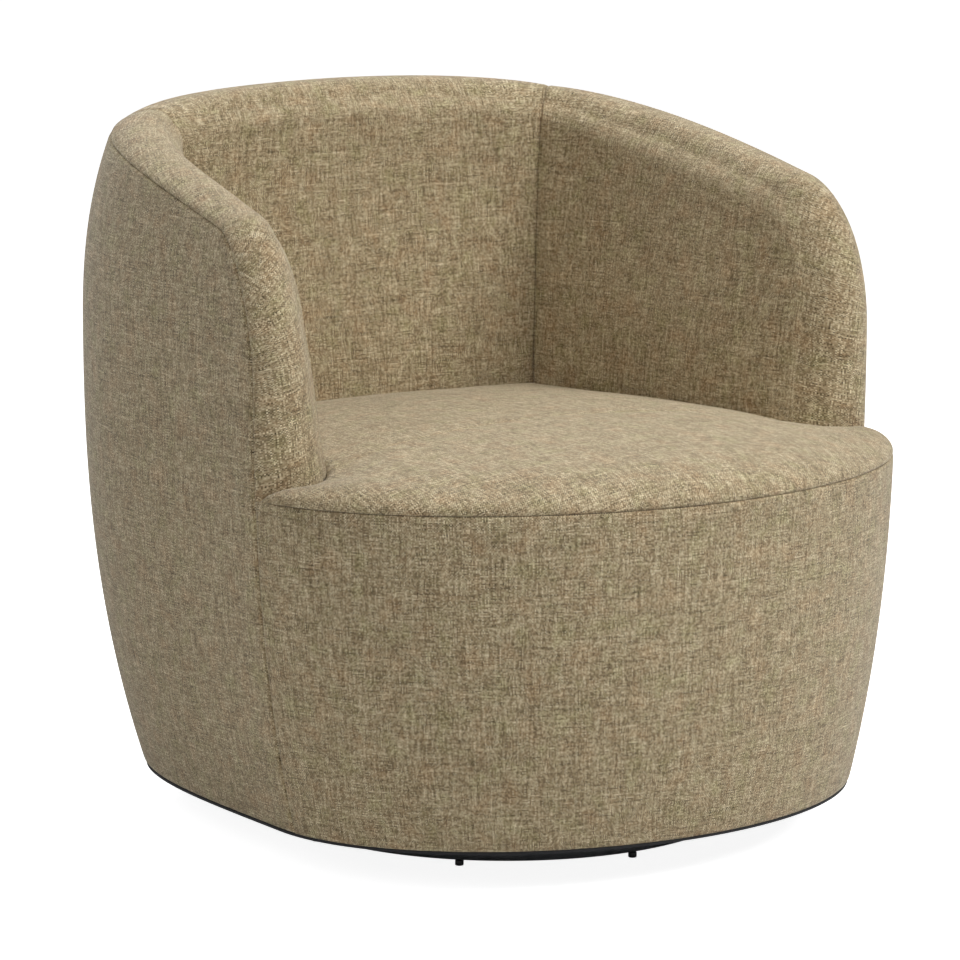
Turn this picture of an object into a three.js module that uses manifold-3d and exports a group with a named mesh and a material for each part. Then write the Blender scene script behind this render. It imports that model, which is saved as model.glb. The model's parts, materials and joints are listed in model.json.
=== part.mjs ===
// Swivel barrel chair: an upholstered tub on a caged ball swivel and a steel ring base.
// Units are millimetres. +Z is up, the chair faces -Y, and the origin is on the floor under its middle.
import * as THREE from 'three';
import { mergeVertices } from 'three/addons/utils/BufferGeometryUtils.js';
import Module from 'manifold-3d';

const wasm = await Module();
wasm.setup();

// Driving dimensions

const gap = 0.3; // clearance between pieces that touch
const overrun = 6; // how far a cut runs past what it cuts

// The tub's outside. Seen from above it is one rounded outline, flatter at the back than at the front.
// Seen from the side it is widest at belly height and draws in to the hem and to the top.
const shell = {
  halfWidth: 390,
  frontReach: 297,
  backReach: 521,
  frontPower: 1.98,
  backPower: 3.8,
  bellyHeight: 515,
  hemHeight: 46,
  hemNarrowingShare: 0.124,
  topNarrowingShare: 0.084,
  bellyPower: 2.48,
};
const planCentreY = (shell.frontReach - shell.backReach) / 2;

// The seam between the outside panel and the inside pads. It stands up at the front of each arm,
// turns over an elliptical corner, and climbs along the arm to the back.
const seam = {
  frontAngle: THREE.MathUtils.degToRad(-4.25),
  backHeight: 755,
  fall: 109,
  fallPower: 1.9,
  cornerReach: 83,
  cornerShare: 0.466,
};

// Layers of the tub's wall, measured inward from the shell.
const layer = { panel: 12, board: 3.7, frame: 22, room: 3 };
const boardFace = layer.panel + gap;
const frameFace = boardFace + layer.board + layer.room;
const frameBack = frameFace + layer.frame;
const padBack = frameBack + layer.room;

// Inside pads: how far their faces stand in from the shell, and the roll over their top edge.
const pad = {
  noseTopDepth: 61,
  backTopDepth: 80.5,
  topFade: 200,
  noseSeatDepth: 98,
  backSeatDepth: 138.5,
  seatFade: 105,
  seatFadePower: 1.3,
  leanPower: 0.9,
  puff: 6,
  creaseAngle: THREE.MathUtils.degToRad(56.5),
  creaseSink: 14,
  sinkTopShare: 0.4,
  creaseWidth: 38,
  creaseGap: 1.5,
  topRise: 12,
  noseRise: 28,
  topTurn: 40,
  noseTurn: 22,
  crestShare: 0.46,
  riseRoundness: 0.7,
  edge: 1.6,
  lipGap: 0.6,
  underGap: 8.6,
  footReach: 80,
  noseReach: 130,
};

// Seat: the front seam, the rolled rim above it and the crown.
const seat = {
  seamHeight: 397,
  thickness: 61,
  rimRise: 22,
  rimWidth: 34,
  crown: 22,
  crownWide: 310,
  crownLong: 350,
  crownY: -80,
  crownShares: [0.15, 0.4, 0.65, 0.9],
  side: 3,
  armRoom: 2,
};
const cornerHeight = seat.seamHeight + seam.cornerShare * (seam.backHeight - seam.fall - seat.seamHeight);
const seatTop = seat.seamHeight - seat.thickness; // top of the plywood under the seat
const padUnderside = seatTop + pad.underGap;

const frame = {
  ply: 18,
  bottomWidth: 75,
  seatWidth: 110,
  railDepth: 45,
  railInset: 30,
  postWidth: 44,
  postDepth: 30,
  postInset: 24,
  postDegrees: { front: -50, side: 30, back: 75 },
  boardLap: 20,
  boardDepth: 230,
};

const dust = { thickness: 2.5, hole: 100, inset: 1.5 };

const spring = {
  wire: 2,
  width: 50,
  pitch: 60,
  crown: 12,
  slow: 0.85,
  square: 1.6,
  clipRoom: 0.8,
  clipWall: 1.2,
  clipLeg: 7,
  clipWidth: 22,
  clipSetback: 14,
  endRoom: 44,
  room: 30,
  placeShares: [-0.46, -0.155, 0.155, 0.46],
  stepsPerWave: 6,
};

const base = {
  axisY: -17,
  ringRadius: 240,
  tubeRadius: 12.5,
  tubeWall: 2,
  ringLift: 6,
  barWidth: 40,
  barThickness: 8,
  glides: 8,
  glideRadius: 4.5,
  glideStem: 3,
  glideBarb: 3.6,
};

const swivel = {
  plateSide: 190,
  plateCorner: 14,
  sheet: 2.5,
  raceRadius: 60,
  ballRadius: 6,
  balls: 14,
  dishRadius: 82,
  shoulder: 69,
  grooveDip: 1.6,
  grooveShare: 0.25,
  pinRadius: 10,
  headRadius: 16,
  headHeight: 2.5,
  cageInner: 50,
  cageOuter: 70,
  cageThickness: 3,
  boltCircle: 106,
  boltRadius: 4,
  boltHead: 6.5,
  boltHeadHeight: 5,
  boltOut: 2,
};

// How many flat sides stand for a round
const sides = { circle: 32, hole: 12, arc: 4, wire: 5, lathe: 24, rod: 12, small: 8, tube: 12, bore: 8, ring: 44 };
const ballSides = { round: 7, high: 5 };

// Materials

const finish = (color, roughness, metalness = 0) =>
  new THREE.MeshStandardMaterial({ color, roughness, metalness });
const materials = {
  fabric: () => finish(0x93866a, 0.95),
  seatFabric: () => finish(0xa79b7c, 0.95),
  backing: () => finish(0x6f5b40, 0.9),
  plywood: () => finish(0xb48f5f, 0.8),
  cambric: () => finish(0x17171a, 0.95),
  steel: () => finish(0x3d3e41, 0.45, 0.7),
  bright: () => finish(0x9a9b9d, 0.35, 0.9),
  nylon: () => finish(0x111112, 0.6),
};

const chair = new THREE.Group();
const standing = new THREE.Group();
const turning = new THREE.Group();
chair.add(standing, turning);

function addPiece(group, name, geometry, material) {
  const mesh = new THREE.Mesh(geometry, material);
  mesh.name = name;
  group.add(mesh);
  return mesh;
}

// Solids and joins

// Turns every face outward when a loft was built inside out, by the sign of its volume.
function facingOut(positions, faces) {
  let volume = 0;
  const at = (i) => new THREE.Vector3().fromArray(positions, i * 3);
  for (let i = 0; i < faces.length; i += 3) {
    volume += at(faces[i]).dot(at(faces[i + 1]).cross(at(faces[i + 2])));
  }
  return volume > 0 ? faces : faces.reverse();
}

function bareGeometry(geometry) {
  const bare = geometry.clone();
  bare.deleteAttribute('normal');
  bare.deleteAttribute('uv');
  const merged = mergeVertices(bare);
  const faces = [];
  for (let i = 0; i < merged.index.count; i += 3) {
    const [a, b, c] = merged.index.array.slice(i, i + 3);
    if (a !== b && b !== c && c !== a) faces.push(a, b, c);
  }
  merged.setIndex(facingOut(merged.attributes.position.array, faces));
  merged.computeVertexNormals();
  return merged;
}

function solidOf(geometry) {
  const bare = bareGeometry(geometry);
  const mesh = new wasm.Mesh({
    numProp: 3,
    vertProperties: new Float32Array(bare.attributes.position.array),
    triVerts: new Uint32Array(bare.index.array),
  });
  return new wasm.Manifold(mesh);
}

function geometryOf(solid) {
  const mesh = solid.getMesh();
  const geometry = new THREE.BufferGeometry();
  geometry.setAttribute('position', new THREE.BufferAttribute(mesh.vertProperties, 3));
  geometry.setIndex(new THREE.BufferAttribute(mesh.triVerts, 1));
  geometry.computeVertexNormals();
  return geometry;
}

const join = (...parts) => geometryOf(parts.map(solidOf).reduce((all, part) => all.add(part)));
const cut = (from, ...parts) =>
  geometryOf(parts.map(solidOf).reduce((left, part) => left.subtract(part), solidOf(from)));

// The cap triangles of an outline, turning the way that its own points do. They are found in plan
// where the outline lies flat enough there, so that none of them strays outside it.
function capFaces(outline, points) {
  const { area, triangulateShape } = THREE.ShapeUtils;
  const plan = points.map((p) => new THREE.Vector2(p.x, p.y));
  const flat = 2 * Math.abs(area(plan)) > Math.abs(area(outline)) ? plan : outline;
  const faces = triangulateShape(flat, []);
  const total = faces.reduce((sum, [a, b, c]) => sum + area([flat[a], flat[b], flat[c]]), 0);
  return total * area(flat) > 0 ? faces : faces.map(([a, b, c]) => [a, c, b]);
}

// The cap of an outline that goes up one side and down the other, filled level by level.
function capStrip(outline) {
  const last = outline.length - 1;
  const faces = [];
  for (let i = 0; 2 * i + 2 < last; i++) {
    faces.push([i, i + 1, last - i - 1], [i, last - i - 1, last - i]);
  }
  return faces;
}

// A closed solid through equal outlines. Each column is a list of Vector2, and place(column, point)
// gives its Vector3. Faces are split the same way up both sides, so that a layer's inside nests on
// the outside of the next one.
function loft(columns, place, capOf = capFaces) {
  const size = columns[0].length;
  const points = columns.map((column, i) => column.map((p) => place(i, p)));
  const positions = points.flat().flatMap((point) => point.toArray());
  const faces = [];
  for (let i = 0; i < columns.length - 1; i++) {
    for (let j = 0; j < size; j++) {
      const k = (j + 1) % size;
      const [a, b, c, d] = [i * size + j, i * size + k, (i + 1) * size + k, (i + 1) * size + j];
      if (j < size / 2) faces.push(a, b, c, a, c, d);
      else faces.push(a, b, d, b, c, d);
    }
  }
  // Cap triangles turn with the first outline's edges and against the last one's.
  const last = (columns.length - 1) * size;
  for (const [a, b, c] of capOf(columns[0], points[0])) faces.push(a, c, b);
  for (const [a, b, c] of capOf(columns.at(-1), points.at(-1))) faces.push(last + a, last + b, last + c);
  const geometry = new THREE.BufferGeometry();
  geometry.setAttribute('position', new THREE.Float32BufferAttribute(positions, 3));
  geometry.setIndex(facingOut(positions, faces));
  geometry.computeVertexNormals();
  return geometry;
}

function mirrored(geometry) {
  const copy = geometry.clone();
  copy.scale(-1, 1, 1);
  copy.setIndex([...copy.index.array].reverse());
  copy.computeVertexNormals();
  return copy;
}

const between = (low, high, count) =>
  Array.from({ length: count + 1 }, (_, i) => low + ((high - low) * i) / count);

// The outline from above. A run is a distance along it from the front seam of the +X arm, towards
// the back; it passes the back's middle at backRun, and below zero it goes round the front.

const planSteps = 720;
const planTable = [];
let planRun = 0;
for (let i = 0; i <= planSteps; i++) {
  const angle = Math.PI / 2 - (Math.PI * i) / planSteps;
  const reach = angle > 0 ? shell.backReach : shell.frontReach;
  const power = angle > 0 ? shell.backPower : shell.frontPower;
  const across = Math.max(Math.cos(angle), 0) / shell.halfWidth;
  const along = Math.abs(Math.sin(angle)) / reach;
  const radius = (across ** power + along ** power) ** (-1 / power);
  const [x, y] = [radius * Math.cos(angle), radius * Math.sin(angle)];
  const steepX = across ** (power - 1) / shell.halfWidth;
  const steepY = (Math.sign(y) * along ** (power - 1)) / reach;
  const length = Math.hypot(steepX, steepY);
  const last = planTable.at(-1);
  planRun += last ? Math.hypot(x - last.x, y - last.y) : 0;
  planTable.push({ x, y, normalX: steepX / length, normalY: steepY / length, angle, run: planRun });
}
const runAtAngle = (angle) => planTable.find((entry) => entry.angle <= angle).run;
const backRun = runAtAngle(seam.frontAngle);
const frontRun = planRun - backRun;
const creaseRun = backRun - runAtAngle(pad.creaseAngle);

function planAt(run) {
  const lap = 2 * planRun;
  let along = (((backRun - run) % lap) + lap) % lap;
  const side = along <= planRun ? 1 : -1;
  along = side > 0 ? along : lap - along;
  let low = 0;
  let high = planSteps;
  while (high - low > 1) {
    const middle = (low + high) >> 1;
    if (planTable[middle].run <= along) low = middle;
    else high = middle;
  }
  const [a, b] = [planTable[low], planTable[high]];
  const share = (along - a.run) / (b.run - a.run);
  const mix = (key) => a[key] + (b[key] - a[key]) * share;
  return { x: side * mix('x'), y: mix('y'), normalX: side * mix('normalX'), normalY: mix('normalY') };
}

function bellyShare(height) {
  const below = height < shell.bellyHeight;
  const span = below ? shell.bellyHeight - shell.hemHeight : seam.backHeight - shell.bellyHeight;
  const narrowing = below ? shell.hemNarrowingShare : shell.topNarrowingShare;
  return 1 - narrowing * (Math.abs(height - shell.bellyHeight) / span) ** shell.bellyPower;
}

// A point of the wall: a run round the outline, a height, and a depth in from the shell.
function wallPoint(run, height, depth) {
  const plan = planAt(run);
  const share = bellyShare(height);
  const x = plan.x * share - plan.normalX * depth;
  const y = planCentreY + plan.y * share - plan.normalY * depth;
  return new THREE.Vector3(x, y, height);
}

const toNearArm = (run) => Math.min(run, 2 * backRun - run);

// The seam's height without its front corner, and with it. An inset lowers and tightens it.
function lineHeight(run) {
  const share = Math.max(0, 1 - toNearArm(run) / backRun);
  return seam.backHeight - seam.fall * share ** seam.fallPower;
}

function seamHeight(run, inset = 0) {
  const height = lineHeight(run) - inset;
  const into = Math.min(1, (toNearArm(run) - inset) / (seam.cornerReach - inset));
  return cornerHeight + (height - cornerHeight) * Math.sqrt(1 - (1 - into) ** 2);
}

// A piece of the wall between two depths. Its columns stand at the runs, and levels gives their heights.
function wallPiece({ runs, levels, outer, inner }) {
  const columns = runs.map((run) => {
    const heights = levels(run);
    const outside = heights.map((height) => new THREE.Vector2(outer, height));
    const inside = heights.toReversed().map((height) => new THREE.Vector2(inner, height));
    return [...outside, ...inside];
  });
  return bareGeometry(loft(columns, (i, p) => wallPoint(runs[i], p.y, p.x), capStrip));
}

// Runs along the seam, shared by every piece that follows it, close together over the front corners.
const padRows = { low: 4, nose: 2, high: 3, corner: 5, top: 6, back: 5, front: 16 };
const padSteps = { rise: 3, turn: 4, face: 4, behind: 2 };
const cornerAngles = between(0, Math.PI / 2, padRows.corner);
const cornerRuns = cornerAngles.map((angle) => seam.cornerReach * (1 - Math.cos(angle)));
const topRuns = between(seam.cornerReach, creaseRun, padRows.top);
const backRuns = between(creaseRun, backRun, padRows.back);
const halfRuns = [...cornerRuns, ...topRuns.slice(1), ...backRuns.slice(1)];
const panelRuns = [...halfRuns, ...halfRuns.toReversed().slice(1).map((run) => 2 * backRun - run)];
const frontRuns = between(0, -2 * frontRun, padRows.front);
const lapRuns = [...panelRuns, ...frontRuns.toReversed().slice(1, -1).map((run) => run + 2 * planRun)];

// Heights shared by the wall's layers, so that their faces lie side by side.
const frontLevels = () => between(shell.hemHeight, seat.seamHeight, padRows.low);
const panelLevels = (run) => [
  ...frontLevels(),
  ...between(seat.seamHeight, cornerHeight, padRows.nose).slice(1),
  ...between(cornerHeight, seamHeight(run), padRows.high).slice(1),
];

// Upholstery

function padDepth(run, height) {
  const near = Math.max(0, toNearArm(run));
  const top = pad.backTopDepth - (pad.backTopDepth - pad.noseTopDepth) * Math.exp(-near / pad.topFade);
  const seatFade = Math.exp(-((near / pad.seatFade) ** pad.seatFadePower));
  const atSeat = pad.backSeatDepth - (pad.backSeatDepth - pad.noseSeatDepth) * seatFade;
  const down = (lineHeight(near) - height) / (lineHeight(near) - seat.seamHeight - seat.rimRise);
  const share = THREE.MathUtils.clamp(down, 0, 1);
  const sink = pad.creaseSink * Math.exp(-Math.abs(near - creaseRun) / pad.creaseWidth);
  const swell = pad.puff * Math.sin(Math.PI * share) * (1 - seatFade);
  const sunk = sink * (pad.sinkTopShare + (1 - pad.sinkTopShare) * share);
  return top + (atSeat - top) * share ** pad.leanPower + swell - sunk;
}

const armLow = seat.seamHeight + pad.edge;

// Stations go up the front of an arm, over its corner and along its top to the crease.
function armStations(creaseRoom) {
  const up = between(armLow, cornerHeight, padRows.nose)
    .slice(0, -1)
    .map((height) => ({ run: 0, height }));
  const end = creaseRun - creaseRoom;
  const along = [...cornerRuns, ...topRuns.slice(1, -1), end];
  const stations = [...up, ...along.map((run) => ({ run, height: seamHeight(run) }))];
  stations.forEach((station, i) => {
    const before = stations[Math.max(0, i - 1)];
    const after = stations[Math.min(stations.length - 1, i + 1)];
    const length = Math.hypot(after.run - before.run, after.height - before.height);
    station.inRun = (after.height - before.height) / length;
    station.inDown = (after.run - before.run) / length;
    const climb = Math.min(1, (station.height - up[0].height) / (cornerHeight - up[0].height));
    const nose = pad.footReach + (pad.noseReach - pad.footReach) * climb;
    const left = Math.min(1, 1 - (station.run - seam.cornerReach) / (end - seam.cornerReach));
    station.reach = nose * left;
    station.inRun *= left;
  });
  stations[0].inRun = 1;
  stations[0].inDown = 0;
  return stations;
}

function backStations(creaseRoom) {
  const start = creaseRun + creaseRoom;
  return between(start, 2 * backRun - start, 2 * padRows.back).map((run) => {
    return { run, height: seamHeight(run), inRun: 0, inDown: 1, reach: 0 };
  });
}

const padLength = ({ reach, height }) => Math.hypot(reach, height - Math.min(height, padUnderside));

// Where a pad's point lies on the wall: past the seam it goes straight out, and inside it follows
// a bend that leaves the seam square and ends at the pad's underside.
function padSpot(station, along) {
  const { run, height, inRun, inDown, reach } = station;
  if (along <= 0) return { run: run + inRun * along, height: height - inDown * along };
  const foot = { run: run + reach, height: Math.min(height, padUnderside) };
  const length = padLength(station);
  if (along > length) return { run: foot.run, height: foot.height - (along - length) };
  const middle = { run: run + (inRun * length) / 2, height: height - (inDown * length) / 2 };
  const share = along / length;
  const mix = (key) =>
    (1 - share) ** 2 * station[key] + 2 * share * (1 - share) * middle[key] + share ** 2 * foot[key];
  return { run: mix('run'), height: mix('height') };
}

// A pad's outline at a station, as (distance in from the seam, depth in from the shell).
function padOutline(station, grow, drop, behind) {
  const nose = station.inRun ** 2;
  const rise = pad.topRise + (pad.noseRise - pad.topRise) * nose + grow;
  const turn = pad.topTurn + (pad.noseTurn - pad.topTurn) * nose;
  const length = padLength(station) + drop;
  const deep = (along) => {
    const spot = padSpot(station, along);
    return padDepth(spot.run, spot.height) + grow;
  };
  const front = between(0, 1, padSteps.rise).map((share) => {
    const along = -pad.edge - (rise - pad.edge) * (1 - (1 - share) ** 2) ** pad.riseRoundness;
    return new THREE.Vector2(along, share * pad.crestShare * deep(along));
  });
  const turned = between(0, Math.PI / 2, padSteps.turn).map((angle) => {
    const along = turn - (rise + turn) * Math.cos(angle);
    return new THREE.Vector2(along, (pad.crestShare + (1 - pad.crestShare) * Math.sin(angle)) * deep(along));
  });
  const face = between(turn, length, padSteps.face).map((along) => new THREE.Vector2(along, deep(along)));
  return [...front, ...turned.slice(1), ...face.slice(1), ...behind(length)];
}

function padGeometry(stations, grow, drop, behind) {
  const columns = stations.map((station) => padOutline(station, grow, drop, behind));
  const place = (i, p) => {
    const spot = padSpot(stations[i], p.x);
    return wallPoint(spot.run, spot.height, p.y);
  };
  return loft(columns, place);
}

// Behind a pad the foam stops at the frame, laps over the rail and ends on the panel's top edge.
const hookInset = frame.railInset - layer.room;
const lipDepth = frameFace - gap;
const hookBehind = (length) => [
  ...between(length, hookInset, padSteps.behind).map((along) => new THREE.Vector2(along, padBack)),
  new THREE.Vector2(hookInset, lipDepth),
  new THREE.Vector2(-pad.lipGap, lipDepth),
];
// The space that a pad takes out of the seat runs right through the wall.
const cutBehind = (length) =>
  between(length, -pad.edge, 2 * padSteps.behind).map((along) => new THREE.Vector2(along, -2 * overrun));

const padStations = armStations(pad.creaseGap / 2);
const armPad = padGeometry(padStations, 0, 0, hookBehind);
const backPad = padGeometry(backStations(pad.creaseGap / 2), 0, 0, hookBehind);
addPiece(turning, 'inside_arm_right', armPad, materials.fabric());
addPiece(turning, 'inside_arm_left', mirrored(armPad), materials.fabric());
addPiece(turning, 'inside_back', backPad, materials.fabric());

const outsidePanel = wallPiece({ runs: panelRuns, levels: panelLevels, outer: 0, inner: layer.panel });
addPiece(turning, 'outside_panel', outsidePanel, materials.fabric());

const liner = wallPiece({
  runs: panelRuns,
  levels: panelLevels,
  outer: boardFace,
  inner: boardFace + layer.board,
});
addPiece(turning, 'shell_liner', liner, materials.backing());

const frontPieceRuns = [-gap, ...frontRuns.slice(1, -1), gap - 2 * frontRun];
const frontPiece = (outer, inner) =>
  wallPiece({ runs: frontPieceRuns, levels: frontLevels, outer, inner });
addPiece(turning, 'front_panel', frontPiece(0, layer.panel), materials.fabric());
addPiece(turning, 'front_board', frontPiece(boardFace, boardFace + layer.board), materials.backing());

// Plywood frame

// A flat outline round the tub at a height, a depth in from the shell.
function flatOutline(height, depth) {
  return lapRuns.map((run) => wallPoint(run, height, depth)).map((p) => new THREE.Vector2(p.x, p.y));
}

function flatPlate(outline, holes, low, thickness) {
  const shape = new THREE.Shape(outline);
  shape.holes = holes.map((hole) => new THREE.Path(hole));
  const plate = new THREE.ExtrudeGeometry(shape, { depth: thickness, bevelEnabled: false });
  plate.translate(0, 0, low);
  return bareGeometry(plate);
}

const bottomOutline = flatOutline(shell.hemHeight, frameFace);
const bottomHole = flatOutline(shell.hemHeight, frameFace + frame.bottomWidth);
const bottomFrame = flatPlate(bottomOutline, [bottomHole], shell.hemHeight, frame.ply);
addPiece(turning, 'bottom_frame', bottomFrame, materials.plywood());

const seatFrameLow = seatTop - frame.ply;
const seatOpening = flatOutline(seatFrameLow, frameFace + frame.seatWidth);
const seatFrame = flatPlate(flatOutline(seatFrameLow, frameFace), [seatOpening], seatFrameLow, frame.ply);
addPiece(turning, 'seat_frame', seatFrame, materials.plywood());

// Short posts stand on the bottom frame, square to the outline, and carry the seat frame.
const postLow = shell.hemHeight + frame.ply + gap;
for (const [place, degrees] of Object.entries(frame.postDegrees)) {
  const run = backRun - runAtAngle(THREE.MathUtils.degToRad(degrees));
  const plan = planAt(run);
  const depth = frameFace + frame.postInset;
  const share = bellyShare(shell.hemHeight);
  const height = seatFrameLow - gap - postLow;
  const post = new THREE.BoxGeometry(frame.postDepth, frame.postWidth, height);
  post.rotateZ(Math.atan2(plan.normalY, plan.normalX));
  const x = plan.x * share - plan.normalX * depth;
  const y = planCentreY + plan.y * share - plan.normalY * depth;
  post.translate(x, y, postLow + height / 2);
  const geometry = bareGeometry(post);
  addPiece(turning, `${place}_post_right`, geometry, materials.plywood());
  addPiece(turning, `${place}_post_left`, mirrored(geometry), materials.plywood());
}

// The rail hoop runs a fixed inset inside the seam: two arm rails with rounded fronts and one back
// rail. Each upright has the rail's own columns, stands on the seat frame and ends under the rail.
const railSpots = (stations) => stations.map((station) => padSpot(station, frame.railInset));
function framePiece(spots, levels) {
  const levelsAt = new Map(spots.map((spot) => [spot.run, levels(spot.height)]));
  const runs = [...levelsAt.keys()];
  return wallPiece({ runs, levels: (run) => levelsAt.get(run), outer: frameFace, inner: frameBack });
}
const rail = (spots) => framePiece(spots, (top) => [top - frame.railDepth, top]);
const upright = (spots) =>
  framePiece(spots, (top) => between(seatTop + gap, top - frame.railDepth - gap, padRows.low));

const armSpots = railSpots(padStations.filter((station) => station.height >= cornerHeight));
const backSpots = railSpots(backStations(pad.creaseGap / 2));
const armRail = rail(armSpots);
addPiece(turning, 'arm_rail_right', armRail, materials.plywood());
addPiece(turning, 'arm_rail_left', mirrored(armRail), materials.plywood());
addPiece(turning, 'back_rail', rail(backSpots), materials.plywood());

const armFront = upright(armSpots.slice(0, padRows.corner + 1));
addPiece(turning, 'arm_post_right', armFront, materials.plywood());
addPiece(turning, 'arm_post_left', mirrored(armFront), materials.plywood());
addPiece(turning, 'back_upright_right', upright(backSpots.slice(0, 2)), materials.plywood());
addPiece(turning, 'back_upright_left', upright(backSpots.slice(-2)), materials.plywood());

// Dust cover under the frame and the panels. Its edge is the dark line along the hem.
function circlePoints(radius, y, count = sides.circle) {
  return between(0, 2 * Math.PI, count)
    .slice(0, -1)
    .map((angle) => new THREE.Vector2(radius * Math.cos(angle), y + radius * Math.sin(angle)));
}

const dustHole = circlePoints(dust.hole, base.axisY);
const dustLow = shell.hemHeight - gap - dust.thickness;
const dustOutline = flatOutline(shell.hemHeight, dust.inset);
const dustCover = flatPlate(dustOutline, [dustHole], dustLow, dust.thickness);
addPiece(turning, 'dust_cover', dustCover, materials.cambric());

// Seat springs: each wire is one unbroken zigzag with a slight crown, held by a clip at each end.
const clipLow = seatTop + gap;
const wireHeight = clipLow + spring.clipWall + spring.clipRoom + spring.wire;

function openingEdge(x, side) {
  const points = seatOpening.filter((p) => Math.sign(p.y - planCentreY) === side);
  const nearest = points.toSorted((a, b) => Math.abs(a.x - x) - Math.abs(b.x - x)).slice(0, 2);
  const [a, b] = nearest;
  return a.y + ((b.y - a.y) * (x - a.x)) / (b.x - a.x);
}

function springWire(x, front, back) {
  const waves = Math.round((back - front) / spring.pitch);
  const turns = 2 * Math.PI * waves;
  const steps = spring.stepsPerWave * (waves + 1);
  const points = between(-Math.PI / 2, turns + Math.PI / 2, steps).map((phase) => {
    const share = (phase - (spring.slow / 2) * Math.sin(2 * phase)) / turns;
    const across = Math.tanh(spring.square * Math.sin(phase)) / Math.tanh(spring.square);
    const lift = spring.crown * Math.sin(Math.PI * THREE.MathUtils.clamp(share, 0, 1));
    const y = front + (back - front) * share;
    return new THREE.Vector3(x + (across * spring.width) / 2, y, wireHeight + lift);
  });
  const section = new THREE.Shape(circlePoints(spring.wire, 0, sides.wire));
  const extrudePath = new THREE.CatmullRomCurve3(points);
  return bareGeometry(new THREE.ExtrudeGeometry(section, { steps, extrudePath }));
}

// A clip is a strip folded round the wire, open towards the spring.
function springClip(x, y, side) {
  const inner = spring.wire + spring.clipRoom;
  const outer = inner + spring.clipWall;
  const shape = new THREE.Shape();
  shape.moveTo(spring.clipLeg, -outer);
  shape.lineTo(0, -outer);
  shape.absarc(0, 0, outer, -Math.PI / 2, Math.PI / 2, true);
  shape.lineTo(spring.clipLeg, outer);
  shape.lineTo(spring.clipLeg, inner);
  shape.lineTo(0, inner);
  shape.absarc(0, 0, inner, Math.PI / 2, -Math.PI / 2, false);
  shape.lineTo(spring.clipLeg, -inner);
  const options = { depth: spring.clipWidth, bevelEnabled: false, curveSegments: sides.arc };
  const clip = new THREE.ExtrudeGeometry(shape, options);
  clip.translate(0, 0, -spring.clipWidth / 2);
  clip.rotateX(Math.PI / 2);
  clip.rotateZ((side * Math.PI) / 2);
  clip.translate(x, y, wireHeight);
  return bareGeometry(clip);
}

spring.placeShares.forEach((share, i) => {
  const x = share * shell.halfWidth;
  const front = openingEdge(x, -1) - spring.clipSetback;
  const back = openingEdge(x, 1) + spring.clipSetback;
  addPiece(turning, `seat_spring_${i + 1}`, springWire(x, front, back), materials.bright());
  addPiece(turning, `clip_front_${i + 1}`, springClip(x, front, 1), materials.bright());
  addPiece(turning, `clip_back_${i + 1}`, springClip(x, back, -1), materials.bright());
});

// Seat cushion: a crowned body over the whole plan, with a rolled rim that laps the front panel. The
// back, the arms and their noses are cut out of it, and so is the room over the springs.

const cushionLow = seatTop + gap;
const cushionLip = seat.seamHeight + gap;

function crownLift(x, y) {
  const across = x / seat.crownWide;
  const along = (y - seat.crownY) / seat.crownLong;
  return seat.crown * Math.max(0, 1 - across ** 2 - along ** 2);
}

// Each level is an outline, its height, and how much of the rim's rise it has reached.
function cushionLevels() {
  const inside = flatOutline(cushionLow, frameFace + seat.side);
  const edge = flatOutline(cushionLip, 0);
  const levels = [
    { outline: inside, height: cushionLow, share: 0 },
    { outline: inside, height: cushionLip, share: 0 },
    { outline: edge, height: cushionLip, share: 0 },
  ];
  for (const share of between(0, 1, padSteps.rise)) {
    const outline = flatOutline(cushionLip, seat.rimWidth * share);
    levels.push({ outline, height: cushionLip + pad.edge, share: Math.sqrt(1 - (1 - share) ** 2) });
  }
  const rim = levels.at(-1);
  const middle = new THREE.Vector2(0, planCentreY);
  for (const share of seat.crownShares) {
    levels.push({ ...rim, outline: rim.outline.map((p) => p.clone().lerp(middle, share)) });
  }
  return levels;
}

function cushionBody() {
  const levels = cushionLevels();
  const place = (i, p) => {
    const { height, share } = levels[i];
    return new THREE.Vector3(p.x, p.y, height + share * (seat.rimRise + crownLift(p.x, p.y)));
  };
  return loft(levels.map((level) => level.outline), place);
}

// The cut follows the pads a little larger, and goes on down through the cushion.
const cutDrop = padUnderside - cushionLow + overrun;
const armCut = armStations(-overrun);
armCut.unshift({ ...armCut[0], height: cushionLow - overrun });
const armSpace = padGeometry(armCut, seat.armRoom, cutDrop, cutBehind);
const backSpace = padGeometry(backStations(-overrun), seat.armRoom, cutDrop, cutBehind);
const springOutline = flatOutline(seatFrameLow, frameFace + frame.seatWidth - spring.endRoom);
const springSpace = flatPlate(springOutline, [], cushionLow - overrun, overrun + spring.room);
const cushion = cut(cushionBody(), armSpace, mirrored(armSpace), backSpace, springSpace);
addPiece(turning, 'seat_cushion', cushion, materials.seatFabric());

// Swivel: two pressed plates with a ball race between them, held together by a headed pin.

// Revolves a closed profile of [radius, height] pairs round the swivel's axis.
function turned(profile, segments = sides.lathe) {
  const points = [...profile, profile[0]].map(([radius, height]) => new THREE.Vector2(radius, height));
  const lathe = new THREE.LatheGeometry(points, segments);
  lathe.rotateX(Math.PI / 2);
  return bareGeometry(lathe);
}

const placedAt = (geometry, x, y) => geometry.clone().translate(x, y, 0);
const onAxis = (geometry) => placedAt(geometry, 0, base.axisY);
const rod = (radius, low, high, segments = sides.rod) =>
  turned([[0, low], [radius, low], [radius, high], [0, high]], segments);

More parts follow.
